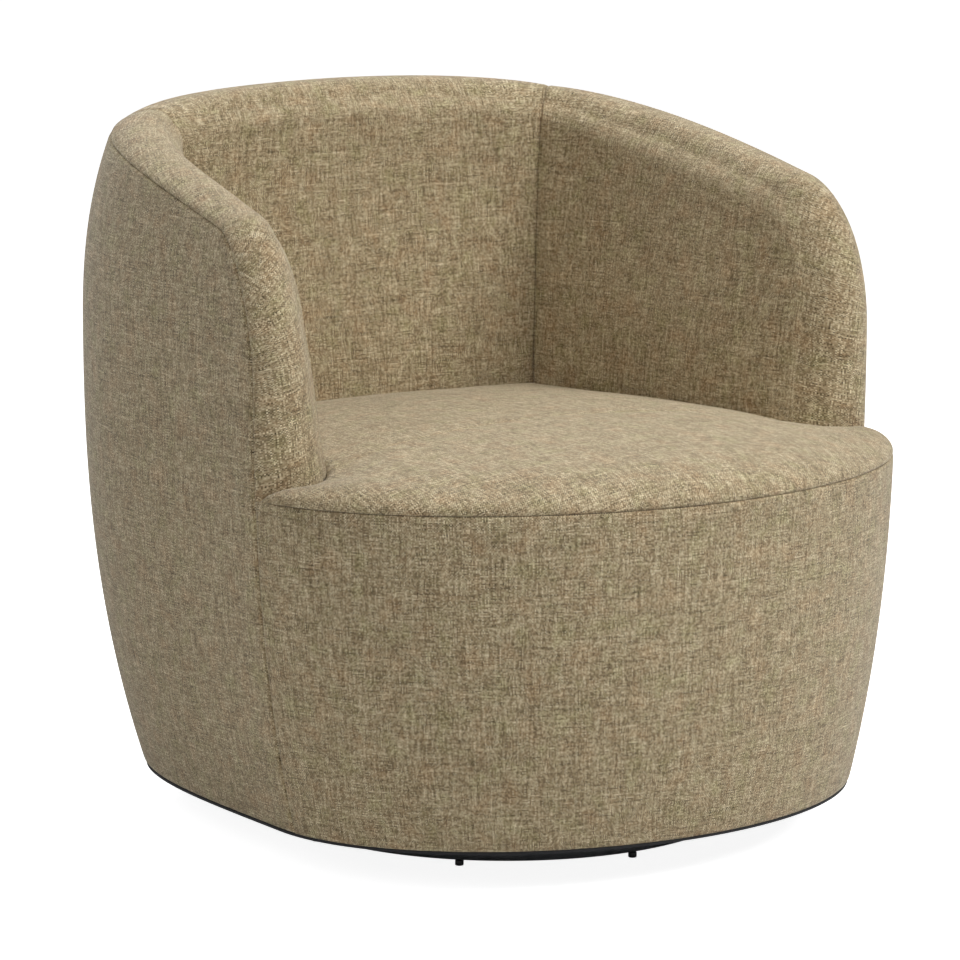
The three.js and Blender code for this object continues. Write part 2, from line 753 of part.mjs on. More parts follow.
const tubeMiddle = base.ringLift + base.tubeRadius;
const barTop = tubeMiddle + base.barThickness / 2;
const barLow = barTop - base.barThickness;
const boardLow = shell.hemHeight + frame.ply + gap;
const plateLow = barTop + gap;
const plateHigh = boardLow - gap;
const raceMiddle = (plateLow + plateHigh) / 2;
const boltSpread = swivel.boltCircle / Math.SQRT2;
const boltPlaces = [[1, 1], [1, -1], [-1, -1], [-1, 1]];

function roundedSquare(side, corner) {
  const half = side / 2;
  const shape = new THREE.Shape();
  shape.moveTo(corner - half, -half);
  shape.lineTo(half - corner, -half);
  shape.absarc(half - corner, corner - half, corner, -Math.PI / 2, 0, false);
  shape.absarc(half - corner, half - corner, corner, 0, Math.PI / 2, false);
  shape.absarc(corner - half, half - corner, corner, Math.PI / 2, Math.PI, false);
  shape.absarc(corner - half, corner - half, corner, Math.PI, 1.5 * Math.PI, false);
  return shape;
}

// The lower plate rises from a square flange to a flat with a groove for the balls.
function swivelPlate() {
  const grooveLow = raceMiddle - swivel.ballRadius - gap;
  const flat = grooveLow + swivel.grooveDip;
  const reach = swivel.shoulder - swivel.raceRadius;
  const top = [
    [swivel.pinRadius + gap, flat],
    [swivel.raceRadius - reach, flat],
    [swivel.raceRadius - reach / 2, grooveLow + swivel.grooveDip * swivel.grooveShare],
    [swivel.raceRadius, grooveLow],
    [swivel.raceRadius + reach / 2, grooveLow + swivel.grooveDip * swivel.grooveShare],
    [swivel.shoulder, flat],
    [swivel.dishRadius, plateLow + swivel.sheet],
  ];
  const under = top.toReversed().map(([radius, height]) => [radius, height - swivel.sheet]);
  const square = roundedSquare(swivel.plateSide, swivel.plateCorner);
  square.holes.push(new THREE.Path(circlePoints(swivel.dishRadius - swivel.sheet, 0, sides.lathe)));
  for (const [x, y] of boltPlaces) {
    const hole = circlePoints(swivel.boltRadius + gap, y * boltSpread, sides.hole);
    square.holes.push(new THREE.Path(hole.map((p) => p.add(new THREE.Vector2(x * boltSpread, 0)))));
  }
  const options = { depth: swivel.sheet, bevelEnabled: false, curveSegments: sides.arc };
  const flange = new THREE.ExtrudeGeometry(square, options);
  flange.translate(0, 0, plateLow);
  return join(turned([...top, ...under]), flange);
}

const lowerPlate = swivelPlate();
const upperPlate = lowerPlate.clone().rotateX(Math.PI).translate(0, 0, 2 * raceMiddle);
addPiece(standing, 'lower_swivel_plate', onAxis(lowerPlate), materials.steel());
addPiece(turning, 'upper_swivel_plate', onAxis(upperPlate), materials.steel());

const pinFlat = raceMiddle - swivel.ballRadius - gap + swivel.grooveDip - swivel.sheet - gap;
const pinTop = 2 * raceMiddle - pinFlat;
const pin = turned([
  [0, pinFlat - swivel.headHeight],
  [swivel.headRadius, pinFlat - swivel.headHeight],
  [swivel.headRadius, pinFlat],
  [swivel.pinRadius, pinFlat],
  [swivel.pinRadius, pinTop],
  [swivel.headRadius, pinTop],
  [swivel.headRadius, pinTop + swivel.headHeight],
  [0, pinTop + swivel.headHeight],
]);
addPiece(standing, 'swivel_pin', onAxis(pin), materials.bright());

const cageRing = turned([
  [swivel.cageInner, raceMiddle - swivel.cageThickness / 2],
  [swivel.cageOuter, raceMiddle - swivel.cageThickness / 2],
  [swivel.cageOuter, raceMiddle + swivel.cageThickness / 2],
  [swivel.cageInner, raceMiddle + swivel.cageThickness / 2],
]);
const balls = between(0, 2 * Math.PI, swivel.balls).slice(1).map((angle) => {
  const ball = new THREE.SphereGeometry(swivel.ballRadius, ballSides.round, ballSides.high);
  const x = swivel.raceRadius * Math.cos(angle);
  return ball.translate(x, swivel.raceRadius * Math.sin(angle), raceMiddle);
});
const rolling = new THREE.Group();
chair.add(rolling);
addPiece(rolling, 'ball_cage', onAxis(join(cageRing, ...balls)), materials.bright());

// Bolts hold the lower plate to the bars and the upper plate to the board.
function bolt(seatHeight, length) {
  const headEnd = seatHeight + swivel.boltHeadHeight;
  return turned(
    [
      [0, seatHeight - length],
      [swivel.boltRadius, seatHeight - length],
      [swivel.boltRadius, seatHeight],
      [swivel.boltHead, seatHeight],
      [swivel.boltHead, headEnd],
      [0, headEnd],
    ],
    sides.small,
  );
}
const lowerSeat = plateLow + swivel.sheet + gap;
const lowerBolt = bolt(lowerSeat, swivel.sheet + base.barThickness + swivel.boltOut);
const upperSeat = plateHigh - swivel.sheet - gap;
const upperLength = swivel.sheet + frame.ply + swivel.boltOut;
const upperBolt = bolt(-upperSeat, upperLength).rotateX(Math.PI);
const boltHole = rod(swivel.boltRadius + gap, barLow - overrun, boardLow + frame.ply + overrun);
const boltHoles = boltPlaces.map(([x, y]) => placedAt(boltHole, x * boltSpread, base.axisY + y * boltSpread));
boltPlaces.forEach(([x, y], i) => {
  const [boltX, boltY] = [x * boltSpread, base.axisY + y * boltSpread];
  addPiece(standing, `lower_bolt_${i + 1}`, placedAt(lowerBolt, boltX, boltY), materials.bright());
  addPiece(turning, `upper_bolt_${i + 1}`, placedAt(upperBolt, boltX, boltY), materials.bright());
});

// The board spans the bottom frame's opening and laps on to it at both ends.
const besideAxis = bottomHole.toSorted((a, b) => Math.abs(a.y - base.axisY) - Math.abs(b.y - base.axisY))[0];
const boardLength = 2 * (Math.abs(besideAxis.x) + frame.boardLap);
const board = new THREE.BoxGeometry(boardLength, frame.boardDepth, frame.ply);
board.translate(0, base.axisY, boardLow + frame.ply / 2);
addPiece(turning, 'swivel_board', cut(board, ...boltHoles), materials.plywood());

// Base: a bent tube ring on glides, with two lapped bars across it.
function ringTube(radius, count) {
  const profile = circlePoints(radius, tubeMiddle, count).map((p) => [base.ringRadius + p.x, p.y]);
  return turned(profile, sides.ring);
}

const glidePlaces = between(0, 2 * Math.PI, base.glides)
  .slice(1)
  .map((angle) => [base.ringRadius * Math.cos(angle), base.axisY + base.ringRadius * Math.sin(angle)]);
const stemHole = rod(base.glideStem + gap, 0, tubeMiddle, sides.small);
const stemHoles = glidePlaces.map(([x, y]) => placedAt(stemHole, x, y));
const ringWalls = [onAxis(ringTube(base.tubeRadius - base.tubeWall, sides.bore)), ...stemHoles];
const ring = cut(onAxis(ringTube(base.tubeRadius, sides.tube)), ...ringWalls);
addPiece(standing, 'base_ring', ring, materials.steel());

// The barb sits just above the tube's inner wall, which rises away from its lowest line.
const barbLow = base.ringLift + base.tubeWall + base.glideBarb * Math.tan(Math.PI / sides.bore) + gap;
const glide = turned(
  [
    [0, 0],
    [base.glideRadius, 0],
    [base.glideRadius, base.ringLift - gap],
    [base.glideStem, base.ringLift - gap],
    [base.glideStem, barbLow],
    [base.glideBarb, barbLow],
    [base.glideStem, barbLow + base.tubeWall],
    [0, barbLow + base.tubeWall],
  ],
  sides.small,
);
glidePlaces.forEach(([x, y], i) => {
  addPiece(standing, `glide_${i + 1}`, placedAt(glide, x, y), materials.nylon());
});

// Each bar is coped to the tube and notched to half its thickness where the two cross.
function crossBar(name, angle, notchLow) {
  const bar = new THREE.BoxGeometry(2 * base.ringRadius, base.barWidth, base.barThickness);
  bar.rotateZ(angle).translate(0, base.axisY, tubeMiddle);
  const notchHeight = base.barThickness / 2 + overrun;
  const notch = new THREE.BoxGeometry(base.barWidth + 2 * gap, base.barWidth + overrun, notchHeight);
  notch.translate(0, 0, notchLow + notchHeight / 2);
  notch.rotateZ(angle).translate(0, base.axisY, 0);
  const cope = onAxis(ringTube(base.tubeRadius + gap, sides.tube));
  addPiece(standing, name, cut(bar, notch, cope, ...boltHoles), materials.steel());
}
crossBar('cross_bar_1', Math.PI / 4, tubeMiddle - gap / 2);
crossBar('cross_bar_2', -Math.PI / 4, tubeMiddle + gap / 2 - base.barThickness / 2 - overrun);

export default chair;
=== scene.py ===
# Swivel barrel chair in linen, on a hidden ball swivel and a tubular ring base.
# Lengths in the dictionaries are millimetres; meshes are built in metres.
import math

import bpy
import numpy as np
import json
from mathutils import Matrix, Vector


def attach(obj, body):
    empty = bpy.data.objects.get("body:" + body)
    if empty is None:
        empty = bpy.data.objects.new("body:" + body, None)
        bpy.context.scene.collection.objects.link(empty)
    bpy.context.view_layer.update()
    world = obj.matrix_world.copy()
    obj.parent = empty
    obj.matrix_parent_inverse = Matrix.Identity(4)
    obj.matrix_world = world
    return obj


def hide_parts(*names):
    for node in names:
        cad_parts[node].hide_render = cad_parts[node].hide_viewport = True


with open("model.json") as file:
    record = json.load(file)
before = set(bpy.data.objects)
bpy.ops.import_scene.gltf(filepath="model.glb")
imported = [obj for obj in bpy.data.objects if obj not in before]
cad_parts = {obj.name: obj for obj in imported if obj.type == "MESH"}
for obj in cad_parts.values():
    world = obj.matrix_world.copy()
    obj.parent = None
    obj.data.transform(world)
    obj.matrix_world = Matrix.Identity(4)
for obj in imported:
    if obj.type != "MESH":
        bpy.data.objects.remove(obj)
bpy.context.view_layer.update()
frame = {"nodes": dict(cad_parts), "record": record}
print("frame loaded:", len(frame["nodes"]), "nodes")


# The tub's wall, on the same curves as the solids: an outline from above, times a width for each height.
tub = {
    "halfWidth": 390.0, "frontReach": 297.0, "backReach": 521.0,
    "frontPower": 1.98, "backPower": 3.8,    # how square the outline is in front and behind
    "bellyHeight": 515.0, "hemHeight": 46.0,
    "hemNarrowing": 0.124, "topNarrowing": 0.084, "bellyPower": 2.48,
}
# The seams, and how a cover turns in at them.
edge = {
    "frontAngle": math.radians(-4.25), "backHeight": 755.0, "fall": 109.0, "fallPower": 1.9,
    "cornerReach": 83.0, "cornerHeight": 513.034, "seatSeam": 397.0,
    "round": 5.5,        # how far from a seam the cover starts to turn in
    "sunk": 2.4,         # how deep the seam lies
    "sideSunk": 4.2,     # how deep the outside panel's seams lie
    "gap": 0.03,         # between the two covers of a seam
    "lift": 0.35,        # of the seat and the arms' pads over the front panel
    "step": 6.5,         # between the points of a panel
    "tall": 700.0,       # a panel's height, near enough to space its points by
    "tuck": 11.0,        # how far a cover goes in behind the seam
}
centreY = (tub["frontReach"] - tub["backReach"]) / 2


def planCurve(steps=6000):
    # Half the outline from above: radius = (|cos|^p / a^p + |sin|^p / b^p)^(-1/p), with its run and normal.
    angle = np.linspace(math.pi / 2, -math.pi / 2, steps + 1)
    behind = angle > 0
    reach = np.where(behind, tub["backReach"], tub["frontReach"])
    power = np.where(behind, tub["backPower"], tub["frontPower"])
    across = np.maximum(np.cos(angle), 0) / tub["halfWidth"]
    along = np.abs(np.sin(angle)) / reach
    radius = (across ** power + along ** power) ** (-1 / power)
    x, y = radius * np.cos(angle), radius * np.sin(angle)
    steepX = across ** (power - 1) / tub["halfWidth"]
    steepY = np.sign(y) * along ** (power - 1) / reach
    length = np.hypot(steepX, steepY)
    run = np.concatenate([[0], np.cumsum(np.hypot(np.diff(x), np.diff(y)))])
    return {"angle": angle, "x": x, "y": y, "nx": steepX / length, "ny": steepY / length, "run": run}


plan = planCurve()
planRun = plan["run"][-1]
backRun = float(np.interp(-edge["frontAngle"], -plan["angle"], plan["run"]))
frontRun = planRun - backRun


def planAt(run):
    # A run counts from the front seam of the +X arm towards the back; below zero it goes round the front.
    lap = 2 * planRun
    along = np.mod(backRun - np.asarray(run, float), lap)
    side = np.where(along <= planRun, 1.0, -1.0)
    along = np.where(along <= planRun, along, lap - along)
    return (
        side * np.interp(along, plan["run"], plan["x"]), np.interp(along, plan["run"], plan["y"]),
        side * np.interp(along, plan["run"], plan["nx"]), np.interp(along, plan["run"], plan["ny"]),
    )


def bellyShare(height):
    # One, less a share that grows with the distance from belly height to a power.
    below = height < tub["bellyHeight"]
    span = np.where(below, tub["bellyHeight"] - tub["hemHeight"], edge["backHeight"] - tub["bellyHeight"])
    narrowing = np.where(below, tub["hemNarrowing"], tub["topNarrowing"])
    return 1 - narrowing * (np.abs(height - tub["bellyHeight"]) / span) ** tub["bellyPower"]


def wallPoint(run, height, depth):
    # The outline at that run, times the width at that height, less the depth along the normal.
    x, y, nx, ny = planAt(run)
    height = np.asarray(height, float)
    share = bellyShare(height)
    point = np.broadcast_arrays(x * share - nx * depth, centreY + y * share - ny * depth, height)
    return np.stack(point, axis=-1) * 0.001


def nearArm(run):
    # The run counted from the nearer arm's front seam.
    return np.minimum(run, 2 * backRun - run)


def lineHeight(run):
    # Back height, less a fall that grows with the distance from the middle of the back to a power.
    share = np.maximum(0, 1 - nearArm(run) / backRun)
    return edge["backHeight"] - edge["fall"] * share ** edge["fallPower"]


def seamHeight(run):
    # The climbing line, brought down to the corner height by a quarter ellipse at the front of each arm.
    into = np.clip(nearArm(run) / edge["cornerReach"], 0, 1)
    return edge["cornerHeight"] + (lineHeight(run) - edge["cornerHeight"]) * np.sqrt(1 - (1 - into) ** 2)


def turnIn(distance, width, deep=None):
    # A quarter ellipse: how far the cover has turned in at a distance from its edge.
    share = np.clip(1 - distance / width, 0, 1)
    return (width if deep is None else deep) * (1 - np.sqrt(1 - share ** 2))


def gathered(start, end, step, fine=(0.0, 0.35, 0.9, 1.7, 2.7, 4.0, 6.0, 9.0), ends=(True, True)):
    # Places from start to end about a step apart, with close ones near the ends that have a seam.
    low = np.array(fine if ends[0] else [0.0])
    high = np.array(fine if ends[1] else [0.0])
    middle = np.linspace(start + low[-1], end - high[-1], max(2, int(round((end - start) / step))))
    return np.concatenate([start + low[:-1], middle, (end - high[:-1])[::-1]])


def meshPiece(name, points, faces, uv=None, smooth=True):
    # Puts points, a list of face arrays and a place on the cloth for each point into a new object.
    mesh = bpy.data.meshes.new(name)
    points = np.asarray(points, np.float32).reshape(-1, 3)
    loops = np.concatenate([np.asarray(f).ravel() for f in faces]).astype(np.int32)
    sizes = np.concatenate([np.full(len(f), np.asarray(f).shape[1]) for f in faces]).astype(np.int32)
    starts = np.concatenate([[0], np.cumsum(sizes)[:-1]]).astype(np.int32)
    mesh.vertices.add(len(points))
    mesh.vertices.foreach_set("co", points.ravel())
    mesh.loops.add(len(loops))
    mesh.loops.foreach_set("vertex_index", loops)
    mesh.polygons.add(len(sizes))
    mesh.polygons.foreach_set("loop_start", starts)
    mesh.polygons.foreach_set("use_smooth", np.full(len(sizes), smooth))
    if uv is not None:
        layer = mesh.uv_layers.new(name="cloth")
        layer.data.foreach_set("uv", np.asarray(uv, np.float32).reshape(-1, 2)[loops].ravel())
    mesh.update(calc_edges=True)
    mesh.validate()
    piece = bpy.data.objects.new(name, mesh)
    bpy.context.scene.collection.objects.link(piece)
    return piece


def gridFaces(columns, rows, closeRows=False, closeColumns=False):
    # Quads between neighbouring columns and rows of a grid whose points are stored column by column.
    i = np.arange(columns if closeColumns else columns - 1)
    j = np.arange(rows if closeRows else rows - 1)
    i, j = [a.ravel() for a in np.meshgrid(i, j, indexing="ij")]
    nextI, nextJ = (i + 1) % columns, (j + 1) % rows
    return np.stack([i * rows + j, nextI * rows + j, nextI * rows + nextJ, i * rows + nextJ], axis=1)


def loopPiece(name, grid, uv=None):
    # Columns that are each a closed loop, joined side by side, with the two end loops filled.
    columns, rows = grid.shape[:2]
    last = (columns - 1) * rows
    ends = [np.arange(rows)[None, ::-1], last + np.arange(rows)[None, :]]
    faces = [gridFaces(columns, rows, closeRows=True), *ends]
    volume = signedVolume(grid.reshape(-1, 3), faces[0])
    if volume < 0:
        faces = [f[:, ::-1] for f in faces]
    return meshPiece(name, grid, faces, uv)


def signedVolume(points, quads):
    # Six times the volume that the faces enclose, below zero where they point inwards.
    a, b, c, d = [points[quads[:, k]] for k in range(4)]
    return float(np.sum(np.einsum("ij,ij->i", a, np.cross(b, c)) + np.einsum("ij,ij->i", a, np.cross(c, d))))


def mirroredPiece(name, piece):
    # The same mesh with x turned round, and its faces wound the other way.
    twin = piece.copy()
    twin.data = piece.data.copy()
    twin.name = twin.data.name = name
    points = np.empty(len(twin.data.vertices) * 3, np.float32)
    twin.data.vertices.foreach_get("co", points)
    points[0::3] *= -1
    twin.data.vertices.foreach_set("co", points)
    twin.data.flip_normals()
    twin.data.update()
    bpy.context.scene.collection.objects.link(twin)
    return twin


def seamDistance(run, height):
    # How far inside its own edges a point of the outside panel lies: front edges, corners, top and hem.
    near = nearArm(run)
    high = lineHeight(run) - edge["cornerHeight"]
    u = np.clip(1 - near / edge["cornerReach"], 0, 1)
    w = np.maximum(height - edge["cornerHeight"], 0) / high
    form = np.sqrt(u ** 2 + w ** 2) + 1e-9
    steep = np.hypot(u / edge["cornerReach"], w / high) / form + 1e-9
    corner = (1 - form) / steep
    slope = 2 * edge["fall"] / backRun
    top = (lineHeight(run) - height) / math.sqrt(1 + slope ** 2)
    away = np.where(near < edge["cornerReach"], np.where(height > edge["cornerHeight"], corner, near), top)
    return np.maximum(0, np.minimum(away, height - tub["hemHeight"]))


def outsidePanel():
    # The wall itself at no depth, from hem to seam, its edges turned in by a quarter ellipse and its
    # lining a tuck's depth behind it.
    corner = edge["cornerReach"] * (1 - np.cos(np.linspace(0, math.pi / 2, 26)))
    middle = np.linspace(edge["cornerReach"], 2 * backRun - edge["cornerReach"], 270)[1:-1]
    run = np.concatenate([corner, middle, 2 * backRun - corner[::-1]])
    share = gathered(0.0, edge["tall"], edge["step"]) / edge["tall"]
    top = seamHeight(run) - edge["gap"]
    height = tub["hemHeight"] + (top - tub["hemHeight"])[:, None] * share[None, :]
    runs = np.broadcast_to(run[:, None], height.shape)
    depth = turnIn(seamDistance(runs, height), edge["round"], edge["sideSunk"])
    outer = wallPoint(runs, height, depth)
    back = height[:, [-1, -10, -30, 50, 30, 10, 0]]
    lining = wallPoint(np.broadcast_to(run[:, None], back.shape), back, edge["tuck"])
    grid = np.concatenate([outer, lining], axis=1)
    uvHeight = np.concatenate([height, back], axis=1)
    uv = np.stack([np.broadcast_to(run[:, None], uvHeight.shape), uvHeight], axis=-1) * 0.001
    return loopPiece("outsidePanelCover", grid, uv)


def frontPanel():
    # The same wall round the front, from one arm's front seam to the other's, up to the seat's seam.
    run = -gathered(edge["gap"], 2 * frontRun - edge["gap"], edge["step"])
    height = gathered(tub["hemHeight"], edge["seatSeam"] - edge["gap"], edge["step"])
    runs, heights = np.meshgrid(run, height, indexing="ij")
    sides = np.minimum(-runs, runs + 2 * frontRun)
    away = np.minimum(heights - tub["hemHeight"], edge["seatSeam"] - heights)
    turned = np.maximum(turnIn(np.maximum(away, 0), edge["round"], edge["sunk"]),
                        turnIn(np.maximum(sides, 0), edge["round"], edge["sideSunk"]))
    outer = wallPoint(runs, heights, turned)
    back = heights[:, [-1, 40, 20, 0]]
    lining = wallPoint(np.broadcast_to(run[:, None], back.shape), back, edge["tuck"])
    grid = np.concatenate([outer, lining], axis=1)
    uvHeight = np.concatenate([heights, back], axis=1)
    uv = np.stack([np.broadcast_to(run[:, None], uvHeight.shape), uvHeight], axis=-1) * 0.001
    return loopPiece("frontPanelCover", grid, uv)


# The pads of the arms and the inside back. A depth counts in from the wall, a rise up from the seam.
pad = {
    "noseTopDepth": 61.0, "backTopDepth": 80.5, "topFade": 200.0,
    "noseSeatDepth": 98.0, "backSeatDepth": 138.5, "seatFade": 105.0, "seatFadePower": 1.3,
    "leanPower": 0.9, "puff": 6.0,
    "creaseAngle": math.radians(56.5), "creaseSink": 14.0, "creaseWidth": 38.0, "creaseGap": 0.04,
    "creaseTop": 0.4,    # share of the crease's sink that it has at the top
    "creaseRound": 7.0, "creaseDeep": 1.6, "creaseFall": 4.5, "creaseFallRun": 45.0,
    "topRise": 19.5, "noseRise": 28.0, "topTurn": 40.0, "noseTurn": 22.0,
    "crestShare": 0.46, "riseRoundness": 0.7, "edge": 0.03, "step": 7.0,
    "underside": 344.6, "footReach": 80.0, "noseReach": 130.0,
    "back": 44.3, "hookInset": 27.0, "lip": 18.7, "rimRise": 22.0,
    "bend": 0.28,        # how far from the seam, as a share of its length, a section heads straight in
    "bias": 0.2,         # how far the weave slants on the nose
    "clothHeight": 560.0,    # height at which the cloth's run along the face is measured
    "swell": 5.0,        # cap on how far the simulated cover moves
    "heldSeam": 9.0, "heldBelow": 412.0,    # pinned this near the seam, and below this height
}
creaseRun = backRun - float(np.interp(-pad["creaseAngle"], -plan["angle"], plan["run"]))
armLow = edge["seatSeam"] + edge["lift"]


def padDepth(run, height):
    # Depth at the top and at the seat, each fading from nose to back, mixed by how far down the point
    # is, plus a slight swell and less the sink at the crease.
    near = np.maximum(0, nearArm(run))
    top = pad["backTopDepth"] - (pad["backTopDepth"] - pad["noseTopDepth"]) * np.exp(-near / pad["topFade"])
    seatFade = np.exp(-((near / pad["seatFade"]) ** pad["seatFadePower"]))
    atSeat = pad["backSeatDepth"] - (pad["backSeatDepth"] - pad["noseSeatDepth"]) * seatFade
    line = lineHeight(near)
    share = np.clip((line - height) / (line - edge["seatSeam"] - pad["rimRise"]), 0, 1)
    sink = pad["creaseSink"] * np.exp(-np.abs(near - creaseRun) / pad["creaseWidth"])
    swell = pad["puff"] * np.sin(math.pi * share) * (1 - seatFade)
    sink = sink * (pad["creaseTop"] + (1 - pad["creaseTop"]) * share)
    return top + (atSeat - top) * share ** pad["leanPower"] + swell - sink


def armStations():
    # Places up the front of an arm, over its corner and along its top to the crease, each with the
    # way in from the seam and how far towards the back its line ends.
    up = gathered(armLow, edge["cornerHeight"], pad["step"], ends=(True, False))[:-1]
    corner = edge["cornerReach"] * (1 - np.cos(np.linspace(0, math.pi / 2, 26)))
    end = creaseRun - pad["creaseGap"]
    top = gathered(edge["cornerReach"], end, pad["step"], ends=(False, True))[1:]
    run = np.concatenate([np.zeros(len(up)), corner, top])
    height = np.concatenate([up, seamHeight(corner), seamHeight(top)])
    alongRun, alongHeight = np.gradient(run), np.gradient(height)
    length = np.hypot(alongRun, alongHeight)
    inRun, inDown = alongHeight / length, alongRun / length
    inRun[: len(up)], inDown[: len(up)] = 1, 0
    climb = np.clip((height - armLow) / (edge["cornerHeight"] - armLow), 0, 1)
    left = np.minimum(1, 1 - (run - edge["cornerReach"]) / (end - edge["cornerReach"]))
    reach = (pad["footReach"] + (pad["noseReach"] - pad["footReach"]) * climb) * left
    return {"run": run, "height": height, "inRun": inRun * left, "inDown": inDown, "reach": reach}


def backStations():
    # Places along the back's top from crease to crease, each with its section straight down.
    start = creaseRun + pad["creaseGap"]
    run = gathered(start, 2 * backRun - start, pad["step"])
    flat = np.zeros(len(run))
    return {"run": run, "height": seamHeight(run), "inRun": flat, "inDown": flat + 1, "reach": flat}


def padSpot(station, along):
    # Past the seam a point goes straight out; inside it follows a bend with one control point, which
    # leaves the seam square and ends at the pad's underside.
    parts = ("run", "height", "inRun", "inDown", "reach")
    run, height, inRun, inDown, reach = [station[k][:, None] for k in parts]
    footHeight = np.minimum(height, pad["underside"])
    length = np.hypot(reach, height - footHeight)
    share = np.clip(along / length, 0, 1)
    middleRun, middleHeight = run + inRun * length * pad["bend"], height - inDown * length * pad["bend"]
    bentRun = (1 - share) ** 2 * run + 2 * share * (1 - share) * middleRun + share ** 2 * (run + reach)
    bentHeight = (1 - share) ** 2 * height + 2 * share * (1 - share) * middleHeight + share ** 2 * footHeight
    outward = along <= 0
    straightRun, straightHeight = run + inRun * along, height - inDown * along
    return np.where(outward, straightRun, bentRun), np.where(outward, straightHeight, bentHeight)


# The cloth's own length along the pads' face, for every run.
faceRun = np.linspace(-300, 2 * backRun + 300, 1200)
faceDepth = padDepth(faceRun, np.full(len(faceRun), pad["clothHeight"]))
faceLength = wallPoint(faceRun, pad["clothHeight"], faceDepth)
faceLength = np.concatenate([[0], np.cumsum(np.linalg.norm(np.diff(faceLength, axis=0), axis=1))])


def padPiece(name, station, creaseEnds):
    # At every station one section: it turns in at the seam, rises to the crest, turns over with a
    # quarter ellipse, runs down the face, and comes back up behind. Near a crease it all draws in.
    nose = station["inRun"][:, None] ** 2
    draw = np.zeros_like(station["run"])
    for atEnd in creaseEnds:
        fromEnd = np.abs(station["run"] - station["run"][atEnd])
        draw = draw + turnIn(fromEnd, pad["creaseRound"], pad["creaseDeep"])
    if len(creaseEnds) == 1:
        onNose = station["run"] == 0
        draw = draw + np.where(onNose, turnIn(station["height"] - armLow, edge["round"], edge["sunk"]), 0)
    draw = draw[:, None]
    fromCrease = np.abs(nearArm(station["run"]) - creaseRun)[:, None]
    fall = pad["creaseFall"] * np.exp(-fromCrease / pad["creaseFallRun"])
    rise = pad["topRise"] + (pad["noseRise"] - pad["topRise"]) * nose - draw - fall * (1 - nose)
    turn = pad["topTurn"] + (pad["noseTurn"] - pad["topTurn"]) * nose
    height, reach = station["height"][:, None], station["reach"][:, None]
    length = np.hypot(reach, height - np.minimum(height, pad["underside"]))

    def deep(along):
        # The face's depth there, less what it draws in.
        spot = padSpot(station, along)
        return padDepth(*spot) - draw

    # Up from the seam to the crest, over it, down the face, back up behind and over the lip.
    share = np.concatenate([[0, 0.004, 0.012, 0.03, 0.06, 0.1, 0.15], np.linspace(0.22, 1, 12)])[None, :]
    lift = (1 - (1 - share) ** 2) ** pad["riseRoundness"]
    along = -pad["edge"] - (rise - pad["edge"]) * lift
    far = np.hypot(along + pad["edge"], share * pad["crestShare"] * deep(along))
    riseDepth = share * pad["crestShare"] * deep(along) + turnIn(far, edge["round"], edge["sunk"])
    front = (along, riseDepth)
    angle = np.linspace(0, math.pi / 2, 16)[None, 1:]
    along = turn - (rise + turn) * np.cos(angle)
    over = (along, (pad["crestShare"] + (1 - pad["crestShare"]) * np.sin(angle)) * deep(along))
    along = turn + (length - turn) * np.linspace(0, 1, 54)[None, 1:]
    face = (along, deep(along))
    hook = pad["hookInset"]
    along = np.minimum(length, length + (hook - length) * np.linspace(0, 1, 10)[None, :])
    behind = (along, np.full_like(along, pad["back"]))
    ones = np.ones_like(length)
    lip = (np.concatenate([hook * ones, -pad["edge"] * ones], axis=1), np.full((len(length), 2), pad["lip"]))
    along = np.concatenate([front[0], over[0], face[0], behind[0], lip[0]], axis=1)
    depth = np.concatenate([front[1], over[1], face[1], behind[1], lip[1]], axis=1)
    spotRun, spotHeight = padSpot(station, along)
    grid = wallPoint(spotRun, spotHeight, depth)
    # The cloth lies straight on the face; over the roll it goes on past the turn by its own length.
    down = np.cumsum(np.hypot(np.diff(along), np.diff(depth)), axis=1)
    down = np.concatenate([np.zeros_like(ones), down], axis=1)
    atTurn = front[0].shape[1] + over[0].shape[1] - 1
    past = down[:, atTurn:atTurn + 1] - down
    rolled = np.arange(down.shape[1])[None, :] <= atTurn
    pastRun = spotRun[:, atTurn:atTurn + 1] - station["inRun"][:, None] * past
    pastHeight = spotHeight[:, atTurn:atTurn + 1] + (station["inDown"][:, None] + pad["bias"] * nose) * past
    clothRun = np.where(rolled, pastRun, spotRun)
    clothHeight = np.where(rolled, pastHeight, spotHeight)
    uv = np.stack([np.interp(clothRun, faceRun, faceLength), clothHeight * 0.001], axis=-1)
    piece = loopPiece(name, grid, uv)
    # Held by the seam, the crease, the foot and everything behind; free over the roll and the face.
    shown = front[0].shape[1] + over[0].shape[1] + face[0].shape[1]
    place = np.arange(along.shape[1])[None, :]
    fromSeam = np.hypot(along + pad["edge"], depth)
    held = (place >= shown) | (fromSeam < pad["heldSeam"]) | (spotHeight < pad["heldBelow"]) | (draw > 0)
    return piece, held


